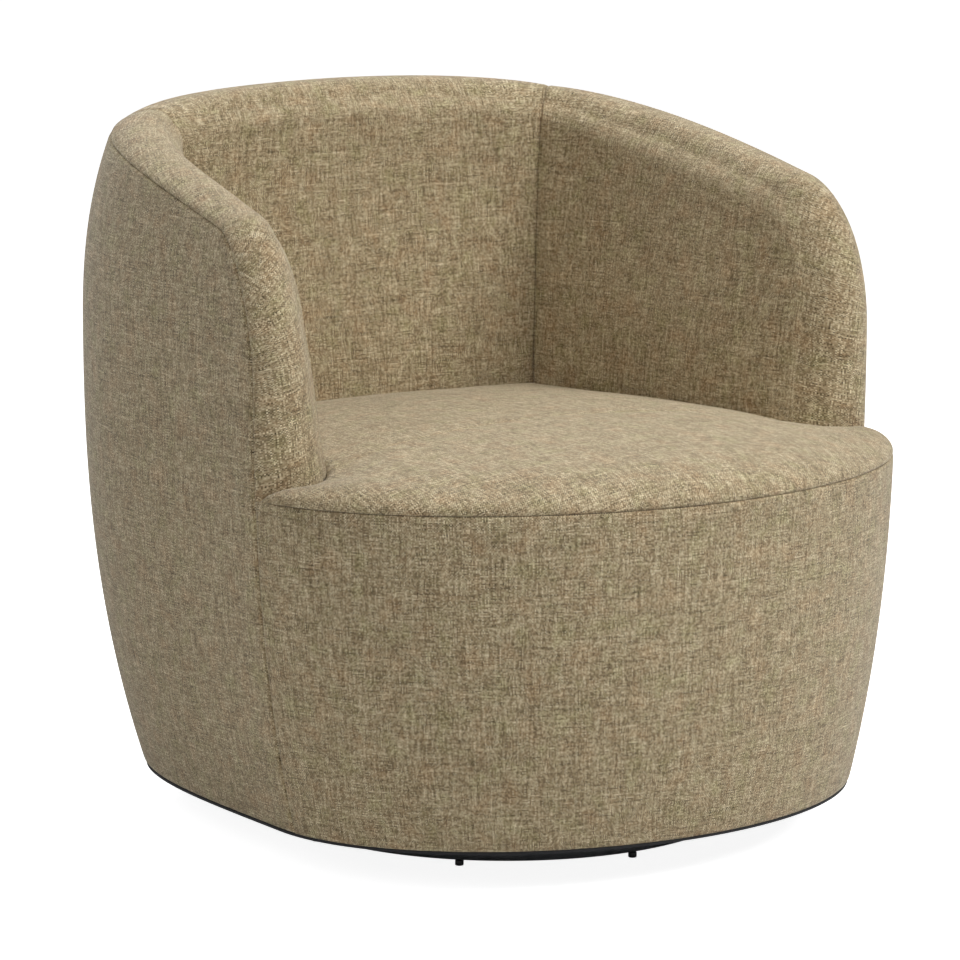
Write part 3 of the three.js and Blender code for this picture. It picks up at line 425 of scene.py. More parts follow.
# The tight seat. Its rim rises from the seam, its crown from the rim.
seat = {
    "rimRise": 22.0, "rimWidth": 34.0, "crown": 22.0,
    "crownWide": 310.0, "crownLong": 350.0, "crownY": -80.0,
    "cornerRun": -12.0, "cornerDepth": 48.0, "cornerDrop": 9.0, "cornerWide": 52.0,    # lower beside the noses
    "level": 415.0,      # height at which the pads' faces bound it
    "dip": 6.0, "dipWidth": 12.0, "noseDip": 5.0, "noseDipRun": 60.0,    # tucked down along the pads
    "plunge": 7.0,       # how steeply it goes on down under a pad
    "skirtLow": 340.5,   # and how low it ends there
    "fieldDepth": 130.0,     # how far in from the rim the rings run before they close on the middle
    "hiddenRun": 14.0, "flangeInset": 24.0,    # behind the arms' front seams it starts further in
    "low": 337.0, "roomLow": 372.0,    # underside, and its roof over the springs
    "lipDrop": 0.3, "wallInset": 22.5, "sideInset": 25.0, "flatInset": 70.0, "roomInset": 96.0,
    "heldPad": 3.0, "heldRim": 9.0,    # pinned this near a pad, and up to this height over the seam
    "swell": 6.0,        # cap on how far the simulated cover moves
}


def footprintEdge():
    # The pads' faces at seat level as a line of (run, depth): round the nose, then back along the arm.
    deep = float(padDepth(np.array(0.0), np.array(seat["level"])))
    share = np.linspace(0, 1, 16)
    rise = pad["noseRise"]
    first = -pad["edge"] - (rise - pad["edge"]) * (1 - (1 - share) ** 2) ** pad["riseRoundness"]
    angle = np.linspace(0, math.pi / 2, 16)[1:]
    over = pad["noseTurn"] - (rise + pad["noseTurn"]) * np.cos(angle)
    run = np.linspace(pad["noseTurn"], backRun, 160)[1:]
    line = np.concatenate([
        np.stack([first, share * pad["crestShare"] * deep], 1),
        np.stack([over, (pad["crestShare"] + (1 - pad["crestShare"]) * np.sin(angle)) * deep], 1),
        np.stack([run, padDepth(run, np.full_like(run, seat["level"]))], 1),
    ])
    return line


def footprintDistance(near, depth):
    # Distance to that line, below zero where the pad stands.
    line = footprintEdge()
    shape = near.shape
    p = np.stack([near.ravel(), depth.ravel()], 1)
    a, b = line[:-1], line[1:]
    best = np.full(len(p), np.inf)
    step = b - a
    size = np.maximum(np.einsum("ij,ij->i", step, step), 1e-9)
    for k in range(len(a)):
        t = np.clip(((p - a[k]) @ step[k]) / size[k], 0, 1)
        best = np.minimum(best, np.hypot(*(p - a[k] - t[:, None] * step[k]).T))
    # Inside: deeper line at the same run, or within the nose's bulge.
    faceDepth = np.interp(p[:, 0], line[30:, 0], line[30:, 1])
    inFace = (p[:, 0] >= pad["noseTurn"]) & (p[:, 1] < faceDepth)
    outerRun = np.interp(p[:, 1], line[:31, 1], line[:31, 0])
    inNose = (p[:, 0] < pad["noseTurn"]) & (p[:, 1] < line[30, 1]) & (p[:, 0] > outerRun)
    return np.where(inFace | inNose, -best, best).reshape(shape)


def seatPiece():
    # A grid of runs round the tub by steps in from the shell. Height is a quarter ellipse over the rim,
    # a domed crown inside it, a bell-shaped drop at each nose, and a dip that tucks the cover down where
    # a pad stands.
    fine = (0.0, 1.5, 3.0, 4.5, 6.0, 7.5, 9.0)
    front = -gathered(0.0, 2 * frontRun, edge["step"], fine)[::-1]
    sides = gathered(0.0, 2 * backRun, pad["step"], (*fine, 11.0, 13.0, 15.0))[1:-1]
    run = np.concatenate([front, sides])
    angle = np.concatenate([[0, 0.06, 0.13, 0.2, 0.28, 0.36], np.linspace(0.46, math.pi / 2, 12)])
    rimDepth = seat["rimWidth"] * (1 - np.cos(angle))
    inside = seat["rimWidth"] + np.linspace(0, seat["fieldDepth"], 44)[1:]
    depth = np.concatenate([rimDepth, inside])
    rim = np.concatenate([np.sin(angle), np.ones(len(inside))])
    runs, depths = np.meshgrid(run, depth, indexing="ij")
    hidden = np.clip(nearArm(run) / seat["hiddenRun"], 0, 1)[:, None]
    hidden = hidden ** 2 * (3 - 2 * hidden)
    depths = depths + seat["flangeInset"] * hidden * (1 - depths / depth[-1])
    x, y, nx, ny = planAt(runs)
    share = bellyShare(np.array(edge["seatSeam"]))
    ringX, ringY = x * share - nx * depths, centreY + y * share - ny * depths
    toMiddle = np.linspace(0, 1, 40)[1:-1]
    endX, endY = ringX[:, -1:], ringY[:, -1:]
    allX = np.concatenate([ringX, endX * (1 - toMiddle)], axis=1)
    allY = np.concatenate([ringY, endY + (seat["crownY"] - endY) * toMiddle], axis=1)
    rims = np.concatenate([rim, np.ones(len(toMiddle))])[None, :]
    fromCrown = (allX / seat["crownWide"]) ** 2 + ((allY - seat["crownY"]) / seat["crownLong"]) ** 2
    crown = seat["crown"] * np.maximum(0, 1 - fromCrown)
    seamTop = edge["seatSeam"] + edge["lift"]
    tipX, tipY, tipNx, tipNy = planAt(seat["cornerRun"])
    tipX, tipY = tipX * share - tipNx * seat["cornerDepth"], centreY + tipY * share - tipNy * seat["cornerDepth"]
    corner = seat["cornerDrop"] * np.exp(-((np.abs(allX) - tipX) ** 2 + (allY - tipY) ** 2) / seat["cornerWide"] ** 2)
    height = seamTop + rims * (seat["rimRise"] + crown - corner)
    near = np.where(runs > 0, nearArm(runs), np.where(runs > -frontRun, runs, -2 * frontRun - runs))
    away = np.full(allX.shape, 99.0)
    away[:, : len(depth)] = footprintDistance(near, depths)
    deepest = seat["dip"] + seat["noseDip"] * np.exp(-np.maximum(near[:, :1], 0) / seat["noseDipRun"])
    dip = deepest * (1 - np.sqrt(1 - np.clip(1 - away / seat["dipWidth"], 0, 1) ** 2))
    below = np.where(away < 0, deepest - away * seat["plunge"], dip)
    height = np.maximum(height - below, seat["skirtLow"])
    rimTurn = turnIn(np.maximum(height - seamTop, 0), edge["round"], edge["sunk"])
    rimTurn[:, 8:] = 0
    nxAll = np.concatenate([nx, np.zeros((len(run), len(toMiddle)))], axis=1)
    nyAll = np.concatenate([ny, np.zeros((len(run), len(toMiddle)))], axis=1)
    allX, allY = allX - nxAll * rimTurn, allY - nyAll * rimTurn
    # Cloth places: flat from above, and past the rim by the length of the cover that hangs over it.
    rimSteps = np.hypot(np.diff(rimDepth), np.diff(seat["rimRise"] * np.sin(angle)))
    rimLength = np.concatenate([[0], np.cumsum(rimSteps)])
    flatDepth = np.concatenate([rimLength - rimLength[-1] + seat["rimWidth"], inside])
    flatX, flatY = x * share - nx * flatDepth[None, :], centreY + y * share - ny * flatDepth[None, :]
    uvX = np.concatenate([flatX, allX[:, len(depth):]], axis=1)
    uvY = np.concatenate([flatY, allY[:, len(depth):]], axis=1)
    top = np.stack([allX, allY, height], axis=-1)
    # Underneath, as inset and height at the front and then under the pads: in from the lip, down inside
    # the frame, flat, and up over the springs.
    low, roof, lip, side = seat["low"], seat["roomLow"], seamTop - seat["lipDrop"], seat["sideInset"]
    underRows = np.array([
        (edge["tuck"], lip, side, low + 2.8),
        (seat["wallInset"], lip, side + 0.5, low + 1.6),
        (seat["wallInset"], low, side + 1.0, low),
        (seat["flatInset"], low, seat["flatInset"], low),
        (seat["roomInset"], roof, seat["roomInset"], roof),
    ])[::-1]
    inset, level = [underRows[:, k] + (underRows[:, k + 2] - underRows[:, k]) * hidden for k in (0, 1)]
    across, along = x[:, :1] * share - nx[:, :1] * inset, centreY + y[:, :1] * share - ny[:, :1] * inset
    under = np.stack([across, along, level], axis=-1)
    rows = np.concatenate([under, top], axis=1)
    columns, count = rows.shape[:2]
    crownTop = [[0, seat["crownY"], seamTop + seat["rimRise"] + seat["crown"]]]
    roofTop = [[0, centreY, roof]]
    points = np.concatenate([rows.reshape(-1, 3), crownTop, roofTop]) * 0.001
    cloth = np.stack([uvX, uvY], axis=-1)
    cloth = np.concatenate([np.repeat(cloth[:, :1], under.shape[1], axis=1), cloth], axis=1)
    uv = np.concatenate([cloth.reshape(-1, 2), [[0, seat["crownY"]]], [[0, 0]]]) * 0.001
    quads = gridFaces(columns, count, closeColumns=True)
    i = np.arange(columns)
    following = (i + 1) % columns
    middle = np.stack([i * count + count - 1, following * count + count - 1, np.full(columns, columns * count)], 1)
    lower = np.stack([following * count, i * count, np.full(columns, columns * count + 1)], 1)
    faces = [quads, middle, lower]
    if signedVolume(points, quads) < 0:
        faces = [f[:, ::-1] for f in faces]
    piece = meshPiece("seatCover", points, faces, uv)
    free = np.zeros((columns, count), bool)
    free[:, under.shape[1]:] = (away > seat["heldPad"]) & (height > seamTop + seat["heldRim"])
    held = np.concatenate([~free.ravel(), [False, True]])
    return piece, held


# How the covers are blown up, and how often their moves are evened out.
sewing = {"pressure": 4.0, "frames": 20, "tension": 22.0, "bending": 3.0, "mass": 0.35, "evened": 60}


def inflate(piece, held, cap):
    # Blows the cover up a little with its held points pinned, limits how far any point has moved, and
    # evens the moves out: each free point's move becomes half its own and half its neighbours' mean.
    count = len(piece.data.vertices)
    before = np.empty(count * 3, np.float32)
    piece.data.vertices.foreach_get("co", before)
    pins = piece.vertex_groups.new(name="held")
    pins.add(np.nonzero(np.asarray(held).ravel())[0].tolist(), 1.0, "REPLACE")
    cloth = piece.modifiers.new("Cloth", "CLOTH")
    rules = cloth.settings
    rules.quality = 3
    rules.mass = sewing["mass"]
    rules.tension_stiffness = rules.compression_stiffness = sewing["tension"]
    rules.shear_stiffness = sewing["tension"] / 2
    rules.bending_stiffness = sewing["bending"]
    rules.air_damping = 2.0
    rules.use_pressure = True
    rules.uniform_pressure_force = sewing["pressure"]
    rules.vertex_group_mass = "held"
    rules.effector_weights.gravity = 0
    cloth.collision_settings.use_collision = False
    cloth.collision_settings.use_self_collision = False
    cloth.point_cache.frame_start, cloth.point_cache.frame_end = 1, sewing["frames"]
    scene = bpy.context.scene
    for number in range(1, sewing["frames"] + 1):
        scene.frame_set(number)
    shape = piece.evaluated_get(bpy.context.evaluated_depsgraph_get()).to_mesh()
    after = np.empty(count * 3, np.float32)
    shape.vertices.foreach_get("co", after)
    piece.modifiers.remove(cloth)
    piece.vertex_groups.remove(pins)
    scene.frame_set(1)
    move = (after - before).reshape(-1, 3)
    size = np.linalg.norm(move, axis=1)
    limit = cap * 0.001
    kept = limit * np.tanh(size / limit)
    move *= (kept / np.maximum(size, 1e-9))[:, None]
    pairs = np.empty(len(piece.data.edges) * 2, np.int32)
    piece.data.edges.foreach_get("vertices", pairs)
    here, there = np.concatenate([pairs[0::2], pairs[1::2]]), np.concatenate([pairs[1::2], pairs[0::2]])
    shares = np.maximum(np.bincount(here, minlength=count), 1)[:, None]
    fixed = np.asarray(held).ravel()
    for _ in range(sewing["evened"]):
        total = [np.bincount(here, weights=move[there, k], minlength=count) for k in range(3)]
        move = np.where(fixed[:, None], 0, 0.5 * move + 0.5 * np.stack(total, axis=1) / shares)
    piece.data.vertices.foreach_set("co", (before.reshape(-1, 3) + move).astype(np.float32).ravel())
    piece.data.update()
    furthest = [round(float(length.max() * 1000), 1) for length in (kept, size)]
    print("  moved up to", furthest[0], "mm, of", furthest[1], "mm before the cap")


def newMaterial(name):
    # A new material with one principled shader on its output.
    material = bpy.data.materials.new(name)
    material.use_nodes = True
    tree = material.node_tree
    tree.nodes.clear()
    output = tree.nodes.new("ShaderNodeOutputMaterial")
    shader = tree.nodes.new("ShaderNodeBsdfPrincipled")
    tree.links.new(shader.outputs["BSDF"], output.inputs["Surface"])
    return material, tree, shader


def addNode(tree, kind, settings=None, **inputs):
    # A node with its settings and inputs, where an input is a number, a tuple or another socket.
    node = tree.nodes.new(kind)
    for key, value in (settings or {}).items():
        setattr(node, key, value)
    for key, value in inputs.items():
        target = node.inputs[int(key[1:])] if key[0] == "i" and key[1:].isdigit() else node.inputs[key]
        if isinstance(value, bpy.types.NodeSocket):
            tree.links.new(value, target)
        else:
            target.default_value = value
    return node


def math2(tree, operation, first, second=0.0, third=0.0):
    # One sum of up to three numbers or sockets.
    return addNode(tree, "ShaderNodeMath", {"operation": operation}, i0=first, i1=second, i2=third).outputs[0]


def noise(tree, place, scale, detail, roughness=0.5, flat=False):
    # Noise at a place, in two dimensions where it is flat.
    settings = {"noise_dimensions": "2D"} if flat else {}
    inputs = {"Vector": place, "Scale": scale, "Detail": detail, "Roughness": roughness}
    return addNode(tree, "ShaderNodeTexNoise", settings, **inputs).outputs[0]


def ranged(tree, value, low, high, start=0.0, end=1.0):
    # The value carried from low and high to start and end, and kept between them.
    return addNode(tree, "ShaderNodeMapRange", Value=value, i1=low, i2=high, i3=start, i4=end).outputs[0]


def ramped(tree, value, *stops):
    # A ramp through stops, each a place and a colour.
    ramp = addNode(tree, "ShaderNodeValToRGB", Fac=value)
    elements = ramp.color_ramp.elements
    for number, (position, colour) in enumerate(stops):
        stop = elements[number] if number < 2 else elements.new(position)
        stop.position, stop.color = position, (*colour, 1)
    return ramp.outputs[0]


def bumped(tree, shader, height, strength, distance):
    # Relief of that height on the shader.
    bump = addNode(tree, "ShaderNodeBump", Strength=strength, Distance=distance, Height=height)
    tree.links.new(bump.outputs[0], shader.inputs["Normal"])


# The linen. Sizes are along the cloth, scales how often a pattern repeats in a metre.
linen = {
    "dark": (0.046, 0.030, 0.012), "mean": (0.336, 0.256, 0.146), "pale": (0.80, 0.70, 0.48),
    "green": (0.40, 0.50, 0.36), "pink": (0.60, 0.45, 0.40), "tint": 0.4,
    "thread": 1.35,      # spacing of the threads
    "slub": 24.0,        # length of a thick or dark stretch of thread
    "sway": 3.0, "swayScale": 30.0,    # how far the threads wander
    "warpTone": 0.59, "weftTone": 0.41, "contrast": 0.92, "grain": 0.45,
    "warpSlub": 0.10, "weftSlub": 0.16,
    "patch": 0.05, "patchScale": 26.0, "hueScale": 34.0,
}


def linenMaterial(name):
    # A plain weave: the parity of the two thread numbers says whether warp or weft lies on top. Each
    # thread has its own line of noise along it, with rare long pale or dark slubs, each crossing its own
    # grain, and wide faint noise shifts tone and hue. One ramp from brown to pale turns tone to colour.
    material, tree, shader = newMaterial(name)
    cloth = addNode(tree, "ShaderNodeUVMap", {"uv_map": "cloth"}).outputs[0]
    straight = addNode(tree, "ShaderNodeSeparateXYZ", Vector=cloth).outputs
    flat = {"noise_dimensions": "2D"}
    wander = addNode(tree, "ShaderNodeTexNoise", flat, Vector=cloth, Scale=linen["swayScale"], Detail=1.0)
    drift = addNode(tree, "ShaderNodeSeparateXYZ", Vector=wander.outputs["Color"]).outputs
    u, v = [math2(tree, "MULTIPLY_ADD", drift[k], linen["sway"] * 0.001, straight[k]) for k in (0, 1)]
    pitch, slub = linen["thread"] * 0.001, linen["slub"] * 0.001

    def around(value, times, start):
        # How far the value lies from a half, times a number, on top of the start.
        return math2(tree, "MULTIPLY_ADD", math2(tree, "SUBTRACT", value, 0.5), times, start)

    def threads(across, along, kind, seed):
        # A thread's number, its tone along itself, and where it is pale (1) or dark (-1) for a while.
        line = math2(tree, "FLOOR", math2(tree, "DIVIDE", across, pitch))
        lot = addNode(tree, "ShaderNodeTexWhiteNoise", {"noise_dimensions": "1D"}, W=line).outputs[0]
        row = math2(tree, "MULTIPLY_ADD", lot, 400.0, seed)
        place = addNode(tree, "ShaderNodeCombineXYZ", X=row, Y=math2(tree, "DIVIDE", along, slub)).outputs[0]
        tone = noise(tree, place, 1.0, 1.0, 0.6, flat=True)
        otherRow, slower = math2(tree, "MULTIPLY", row, 1.7), math2(tree, "DIVIDE", along, slub * 3.0)
        place = addNode(tree, "ShaderNodeCombineXYZ", X=otherRow, Y=slower).outputs[0]
        rare = noise(tree, place, 1.0, 0.0, flat=True)
        pale, dark = ranged(tree, rare, 0.70, 0.78), ranged(tree, rare, 0.30, 0.24)
        slubs = math2(tree, "SUBTRACT", pale, dark)
        tone = around(tone, linen["contrast"], linen[kind + "Tone"])
        return line, math2(tree, "MULTIPLY_ADD", slubs, linen[kind + "Slub"], tone), slubs

    warpLine, warp, warpSlubs = threads(u, v, "warp", 3.7)
    weftLine, weft, weftSlubs = threads(v, u, "weft", 51.3)
    parity = math2(tree, "PINGPONG", math2(tree, "ADD", warpLine, weftLine), 1.0)
    crossing = addNode(tree, "ShaderNodeCombineXYZ", X=warpLine, Y=weftLine).outputs[0]
    grain = addNode(tree, "ShaderNodeTexWhiteNoise", flat, Vector=crossing).outputs[0]
    patch = noise(tree, cloth, linen["patchScale"], 3.0, 0.6, flat=True)
    tone = addNode(tree, "ShaderNodeMix", {"data_type": "FLOAT"}, i0=parity, i2=warp, i3=weft).outputs[0]
    tone = around(patch, linen["patch"], around(grain, linen["grain"], tone))
    colour = ramped(tree, tone, (0.0, linen["dark"]), (0.5, linen["mean"]), (1.0, linen["pale"]))
    hue = noise(tree, cloth, linen["hueScale"], 3.0, 0.6, flat=True)
    soft = {"data_type": "RGBA", "blend_type": "SOFT_LIGHT"}
    for tint, low, high in ((linen["green"], 0.52, 0.72), (linen["pink"], 0.48, 0.28)):
        share = ranged(tree, hue, low, high, 0.0, linen["tint"])
        colour = addNode(tree, "ShaderNodeMix", soft, i0=share, i6=colour, i7=(*tint, 1)).outputs[2]
    tree.links.new(colour, shader.inputs["Base Color"])
    waves = [math2(tree, "SINE", math2(tree, "MULTIPLY", way, math.pi / pitch)) for way in (u, v)]
    ridges = math2(tree, "ADD", *[math2(tree, "ABSOLUTE", wave) for wave in waves])
    slubs = math2(tree, "MAXIMUM", warpSlubs, weftSlubs)
    bumped(tree, shader, math2(tree, "MULTIPLY_ADD", slubs, 0.6, ridges), 0.25, 0.0003)
    shader.inputs["Roughness"].default_value = 0.9
    shader.inputs["Specular IOR Level"].default_value = 0.2
    shader.inputs["Sheen Weight"].default_value = 0.22
    shader.inputs["Sheen Roughness"].default_value = 0.5
    return material


def metalMaterial(name, colour, roughness, metallic, grain):
    # Fine noise on Object coordinates for a coat's orange peel or a plating's mottle.
    material, tree, shader = newMaterial(name)
    place = addNode(tree, "ShaderNodeTexCoord").outputs["Object"]
    peel, wear = noise(tree, place, grain, 2.0), noise(tree, place, grain / 12, 3.0)
    darker, lighter = [c * 0.82 for c in colour], [min(1, c * 1.15) for c in colour]
    tree.links.new(ramped(tree, wear, (0.3, darker), (0.7, lighter)), shader.inputs["Base Color"])
    rough = ranged(tree, wear, 0.3, 0.7, roughness * 0.85, roughness * 1.15)
    tree.links.new(rough, shader.inputs["Roughness"])
    bumped(tree, shader, peel, 0.25, 0.0003)
    shader.inputs["Metallic"].default_value = metallic
    return material


def woodMaterial(name, light, dark, layered):
    # Long noise along X for grain, and thin bands in height for the plies.
    material, tree, shader = newMaterial(name)
    place = addNode(tree, "ShaderNodeTexCoord").outputs["Object"]
    longer = addNode(tree, "ShaderNodeMapping", Vector=place, Scale=(12.0, 160.0, 160.0)).outputs[0]
    grain = noise(tree, longer, 1.0, 5.0, 0.65)
    split = addNode(tree, "ShaderNodeSeparateXYZ", Vector=place)
    bands = math2(tree, "SINE", math2(tree, "MULTIPLY", split.outputs[2], 2200.0))
    value = math2(tree, "MULTIPLY_ADD", bands, 0.12 if layered else 0.0, grain)
    tree.links.new(ramped(tree, value, (0.3, dark), (0.7, light)), shader.inputs["Base Color"])
    bumped(tree, shader, grain, 0.3, 0.0004)
    shader.inputs["Roughness"].default_value = 0.75
    return material


def cambricMaterial(name):
    # Thin bonded cloth: crossed noise on Object coordinates, nearly black.
    material, tree, shader = newMaterial(name)
    place = addNode(tree, "ShaderNodeTexCoord").outputs["Object"]
    fibres = noise(tree, place, 900.0, 3.0, 0.7)
    black = ramped(tree, fibres, (0.35, (0.006, 0.006, 0.007)), (0.7, (0.022, 0.022, 0.024)))
    tree.links.new(black, shader.inputs["Base Color"])
    bumped(tree, shader, fibres, 0.4, 0.0003)
    shader.inputs["Roughness"].default_value = 0.9
    return material


linenCloth = linenMaterial("linenCloth")
# The steel's dark coat is set lighter than its own charcoal, as painted light: the grey stands in for light that the
# lamps leave off the ring under the tub.
blackSteelAndPaintedLight = metalMaterial("blackSteelAndPaintedLight", (0.20, 0.204, 0.214), 0.40, 0.15, 900.0)
brightSteel = metalMaterial("brightSteel", (0.46, 0.47, 0.49), 0.32, 1.0, 700.0)
plywood = woodMaterial("plywood", (0.56, 0.37, 0.19), (0.36, 0.21, 0.095), True)
hardboard = woodMaterial("hardboard", (0.24, 0.15, 0.075), (0.15, 0.09, 0.045), False)
cambric = cambricMaterial("cambric")
nylon = metalMaterial("nylon", (0.012, 0.012, 0.012), 0.5, 0.0, 500.0)
bySlot = {"fabric": linenCloth, "seat_fabric": linenCloth, "backing": hardboard, "plywood": plywood,
          "cambric": cambric, "black_steel": blackSteelAndPaintedLight, "bright_steel": brightSteel, "nylon": nylon}
slotOf = {row["node"]: row["material_slot"] for row in frame["record"]["subparts"]}
for name, node in frame["nodes"].items():
    for place in node.material_slots:
        place.material = bySlot[slotOf[name]]
print("materials made")


def finishPiece(piece, body, slotName):
    # Gives a piece the material of its slot, and the body that carries it.
    piece.data.materials.clear()
    piece.data.materials.append(bySlot[slotName])
    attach(piece, body)


# The ring, its glides, and the swivel's axis.
base = {
    "axisY": -17.0, "ringRadius": 240.0, "tube": 12.5, "tubeMiddle": 18.5,
    "glides": 8, "glideRadius": 4.5, "glideHigh": 5.7, "plugRadius": 3.0, "plugHigh": 4.0,
}


def revolved(name, profile, centre=(0.0, None), segments=96):
    # A closed profile of (radius, height) carried round the upright axis at centre.
    turn = np.linspace(0, 2 * math.pi, segments, endpoint=False)[:, None]
    radius, height = np.asarray(profile, float).T
    y = base["axisY"] if centre[1] is None else centre[1]
    points = np.broadcast_arrays(centre[0] + radius * np.cos(turn), y + radius * np.sin(turn), height)
    points = np.stack(points, axis=-1) * 0.001
    quads = gridFaces(segments, len(profile), closeRows=True, closeColumns=True)
    if signedVolume(points.reshape(-1, 3), quads) < 0:
        quads = quads[:, ::-1]
    return meshPiece(name, points, [quads])


def dressBase():
    # The ring is a round tube carried round the axis; a glide is a turned foot with a plug on top.
    angle = np.linspace(0, 2 * math.pi, 28, endpoint=False)
    across, up = base["tube"] * np.cos(angle), base["tube"] * np.sin(angle)
    profile = np.stack([base["ringRadius"] + across, base["tubeMiddle"] + up], 1)
    ring = revolved("baseRingTube", profile, segments=180)
    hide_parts("base_ring")
    finishPiece(ring, "base", "black_steel")
    r, h = base["glideRadius"], base["glideHigh"]
    plug, top = base["plugRadius"], h + base["plugHigh"]
    foot = [(0.05, 0.0), (r - 0.9, 0.0), (r - 0.3, 0.25), (r, 0.9), (r, h - 0.6), (r - 0.4, h),
            (plug, h), (plug, top), (0.05, top)]
    for k in range(base["glides"]):
        place = 2 * math.pi * (k + 1) / base["glides"]
        x, y = base["ringRadius"] * math.cos(place), base["axisY"] + base["ringRadius"] * math.sin(place)
        glide = revolved(f"glideFoot{k + 1}", foot, (x, y), segments=24)
        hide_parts(f"glide_{k + 1}")
        finishPiece(glide, "base", "nylon")


# The dust cover: how far inside the hem it ends, the opening for the swivel, and its two faces.
dust = {"inset": 1.5, "opening": 100.0, "low": 43.2, "high": 45.7, "points": 400}


def dustCover():
    # A flat annulus: the hem's outline drawn in a little, and a round opening for the swivel.
    run = np.linspace(0, 2 * planRun, dust["points"], endpoint=False)
    outer = wallPoint(run, tub["hemHeight"], dust["inset"])
    axisY, radius = base["axisY"] * 0.001, dust["opening"] * 0.001
    heading = np.arctan2(outer[:, 1] - axisY, outer[:, 0])
    hole = np.stack([radius * np.cos(heading), axisY + radius * np.sin(heading), outer[:, 2]], -1)
    low, high = dust["low"] * 0.001, dust["high"] * 0.001
    steps = [(0, high), *[(share, low) for share in (0, 0.25, 0.5, 0.75, 1)], (1, high), (0.5, high)]
    rows = []
    for share, level in steps:
        row = outer * (1 - share) + hole * share
        row[:, 2] = level
        rows.append(row)
    points = np.stack(rows, axis=1)
    quads = gridFaces(dust["points"], len(rows), closeRows=True, closeColumns=True)
    if signedVolume(points.reshape(-1, 3), quads) < 0:
        quads = quads[:, ::-1]
    cover = meshPiece("dustCoverCloth", points, [quads], smooth=False)
    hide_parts("dust_cover")
    finishPiece(cover, "seat", "cambric")


# The covers ride on the tub. The inflated ones are made before their mirror image is taken.
outside = outsidePanel()
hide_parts("outside_panel")
finishPiece(outside, "seat", "fabric")
front = frontPanel()
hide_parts("front_panel")
finishPiece(front, "seat", "fabric")
print("panels made")

armRight, armHeld = padPiece("insideArmRightPad", armStations(), creaseEnds=(-1,))
backPad, backHeld = padPiece("insideBackPad", backStations(), creaseEnds=(0, -1))
seatPad, seatHeld = seatPiece()
for piece, held, cap in ((armRight, armHeld, pad["swell"]), (backPad, backHeld, pad["swell"]),
                         (seatPad, seatHeld, seat["swell"])):
    print("inflating", piece.name)
    inflate(piece, held, cap)
armLeft = mirroredPiece("insideArmLeftPad", armRight)
for piece, node, fill in ((armRight, "inside_arm_right", 0.8), (armLeft, "inside_arm_left", 0.8),
                          (backPad, "inside_back", 0.8), (seatPad, "seat_cushion", 0.75)):
    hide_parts(node)
    finishPiece(piece, "seat", "seat_fabric" if piece is seatPad else "fabric")
print("pads made")

dressBase()
dustCover()
print("base made")


# The lamps, the light from all round, and how much the floor glows to the camera.
studio = {
    "key": {"at": (1.82, -2.61, 3.18), "size": 2.2, "power": 134.0},
    "left": {"at": (-3.56, -0.95, 2.58), "size": 2.2, "power": 30.0},
    "top": {"at": (0.0, -0.16, 4.5), "size": 2.8, "power": 64.0},
    "back": {"at": (0.0, 2.89, 3.45), "size": 2.2, "power": 55.0},
    "world": 0.09, "floorGlow": 0.9,
}


def areaLight(name, at, size, power, target=(0, 0, 0.4)):
    # A square lamp turned to the target.
    light = bpy.data.lights.new(name, "AREA")
    light.size, light.energy = size, power
    lamp = bpy.data.objects.new(name, light)
    lamp.location = at
    direction = Vector(target) - Vector(at)
    lamp.rotation_euler = direction.to_track_quat("-Z", "Y").to_euler()
    bpy.context.scene.collection.objects.link(lamp)


for name in ("key", "left", "top", "back"):
    light = studio[name]
    areaLight(name + "Light", light["at"], light["size"], light["power"])

# The camera, reflections and clear materials see a white world; the rest gets its faint light.
world = bpy.data.worlds.new("studioWorld")
bpy.context.scene.world = world
world.use_nodes = True
tree = world.node_tree
tree.nodes.clear()
rays = addNode(tree, "ShaderNodeLightPath")
seen = math2(tree, "MAXIMUM", rays.outputs["Is Glossy Ray"], rays.outputs["Is Transmission Ray"])
seen = math2(tree, "MAXIMUM", rays.outputs["Is Camera Ray"], seen)
strength = addNode(tree, "ShaderNodeMix", {"data_type": "FLOAT"}, i0=seen, i2=studio["world"], i3=1.0).outputs[0]
background = addNode(tree, "ShaderNodeBackground", Color=(1, 1, 1, 1), Strength=strength)
output = tree.nodes.new("ShaderNodeOutputWorld")
tree.links.new(background.outputs[0], output.inputs["Surface"])

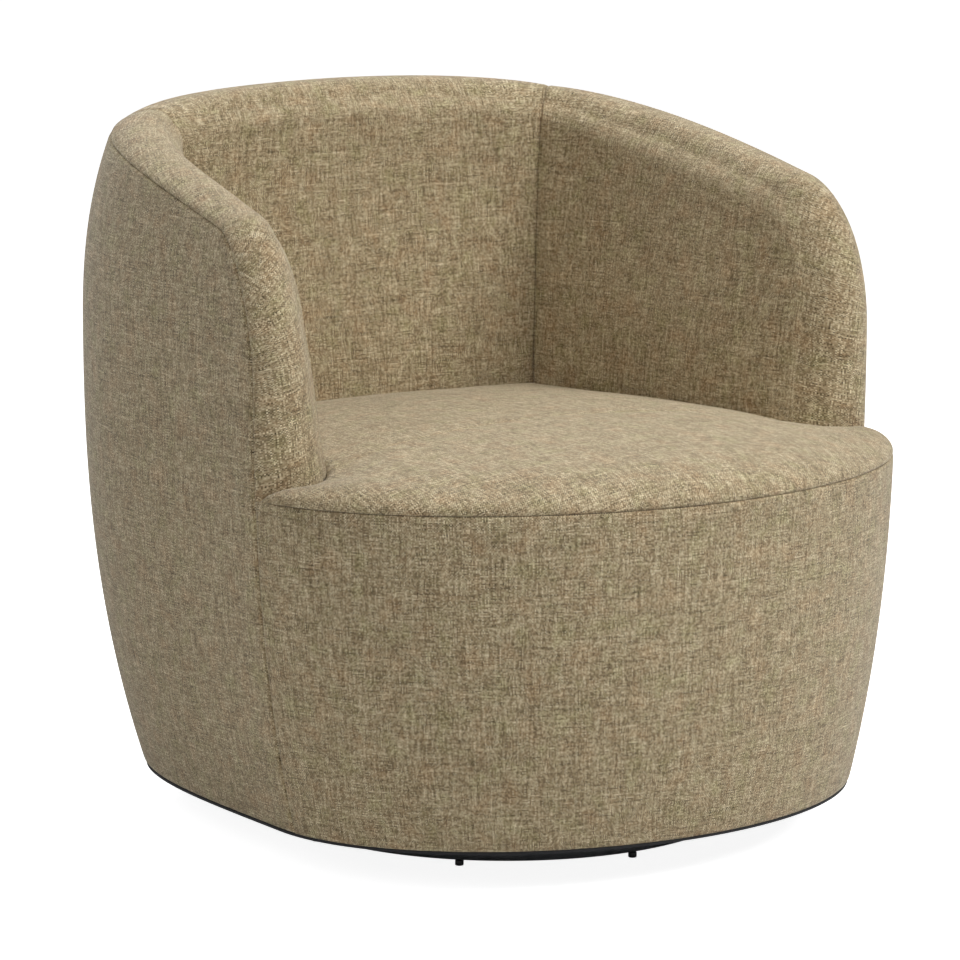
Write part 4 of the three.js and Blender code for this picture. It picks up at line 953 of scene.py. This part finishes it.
# A pale floor that keeps the shadow, glows to the camera, and is clear from below.
corners = [[-30, -30, 0], [30, -30, 0], [30, 30, 0], [-30, 30, 0]]
floor = meshPiece("floor", corners, [np.array([[0, 1, 2, 3]])])
material, tree, shader = newMaterial("paleFloor")
shader.inputs["Base Color"].default_value = (0.8, 0.8, 0.8, 1)
shader.inputs["Roughness"].default_value = 0.9
rays = addNode(tree, "ShaderNodeLightPath")
glowing = math2(tree, "MULTIPLY", rays.outputs["Is Camera Ray"], studio["floorGlow"])
glow = addNode(tree, "ShaderNodeEmission", Color=(1, 1, 1, 1), Strength=glowing)
both = addNode(tree, "ShaderNodeAddShader", i0=shader.outputs[0], i1=glow.outputs[0])
below = addNode(tree, "ShaderNodeNewGeometry").outputs["Backfacing"]
clear = addNode(tree, "ShaderNodeBsdfTransparent")
shown = addNode(tree, "ShaderNodeMixShader", i0=below, i1=both.outputs[0], i2=clear.outputs[0])
out = [n for n in tree.nodes if n.type == "OUTPUT_MATERIAL"][0]
tree.links.new(shown.outputs[0], out.inputs["Surface"])
floor.data.materials.append(material)

# The camera, fitted to the photograph: it stands off the target, and aims a little beside and above it.
view = {
    "azimuth": -33.55, "elevation": 10.42, "distance": 5.281, "target": (0.0, -0.0261, 0.308),
    "right": -0.0328, "up": 0.0572, "lens": 184.7, "sensor": 36.0,
}
azimuth, elevation = math.radians(view["azimuth"]), math.radians(view["elevation"])
level = math.cos(elevation)
away = Vector((math.sin(azimuth) * level, -math.cos(azimuth) * level, math.sin(elevation)))
sideways = Vector((math.cos(azimuth), math.sin(azimuth), 0))
upward = away.cross(sideways)
camera = bpy.data.objects.new("camera", bpy.data.cameras.new("camera"))
bpy.context.scene.collection.objects.link(camera)
camera.data.lens, camera.data.sensor_width = view["lens"], view["sensor"]
camera.data.clip_end = 100.0
camera.location = Vector(view["target"]) + away * view["distance"]
aim = Vector(view["target"]) + sideways * view["right"] + upward * view["up"]
camera.rotation_euler = (aim - camera.location).to_track_quat("-Z", "Y").to_euler()
bpy.context.scene.camera = camera
bpy.context.scene.view_settings.view_transform = "Standard"
print("stage set")
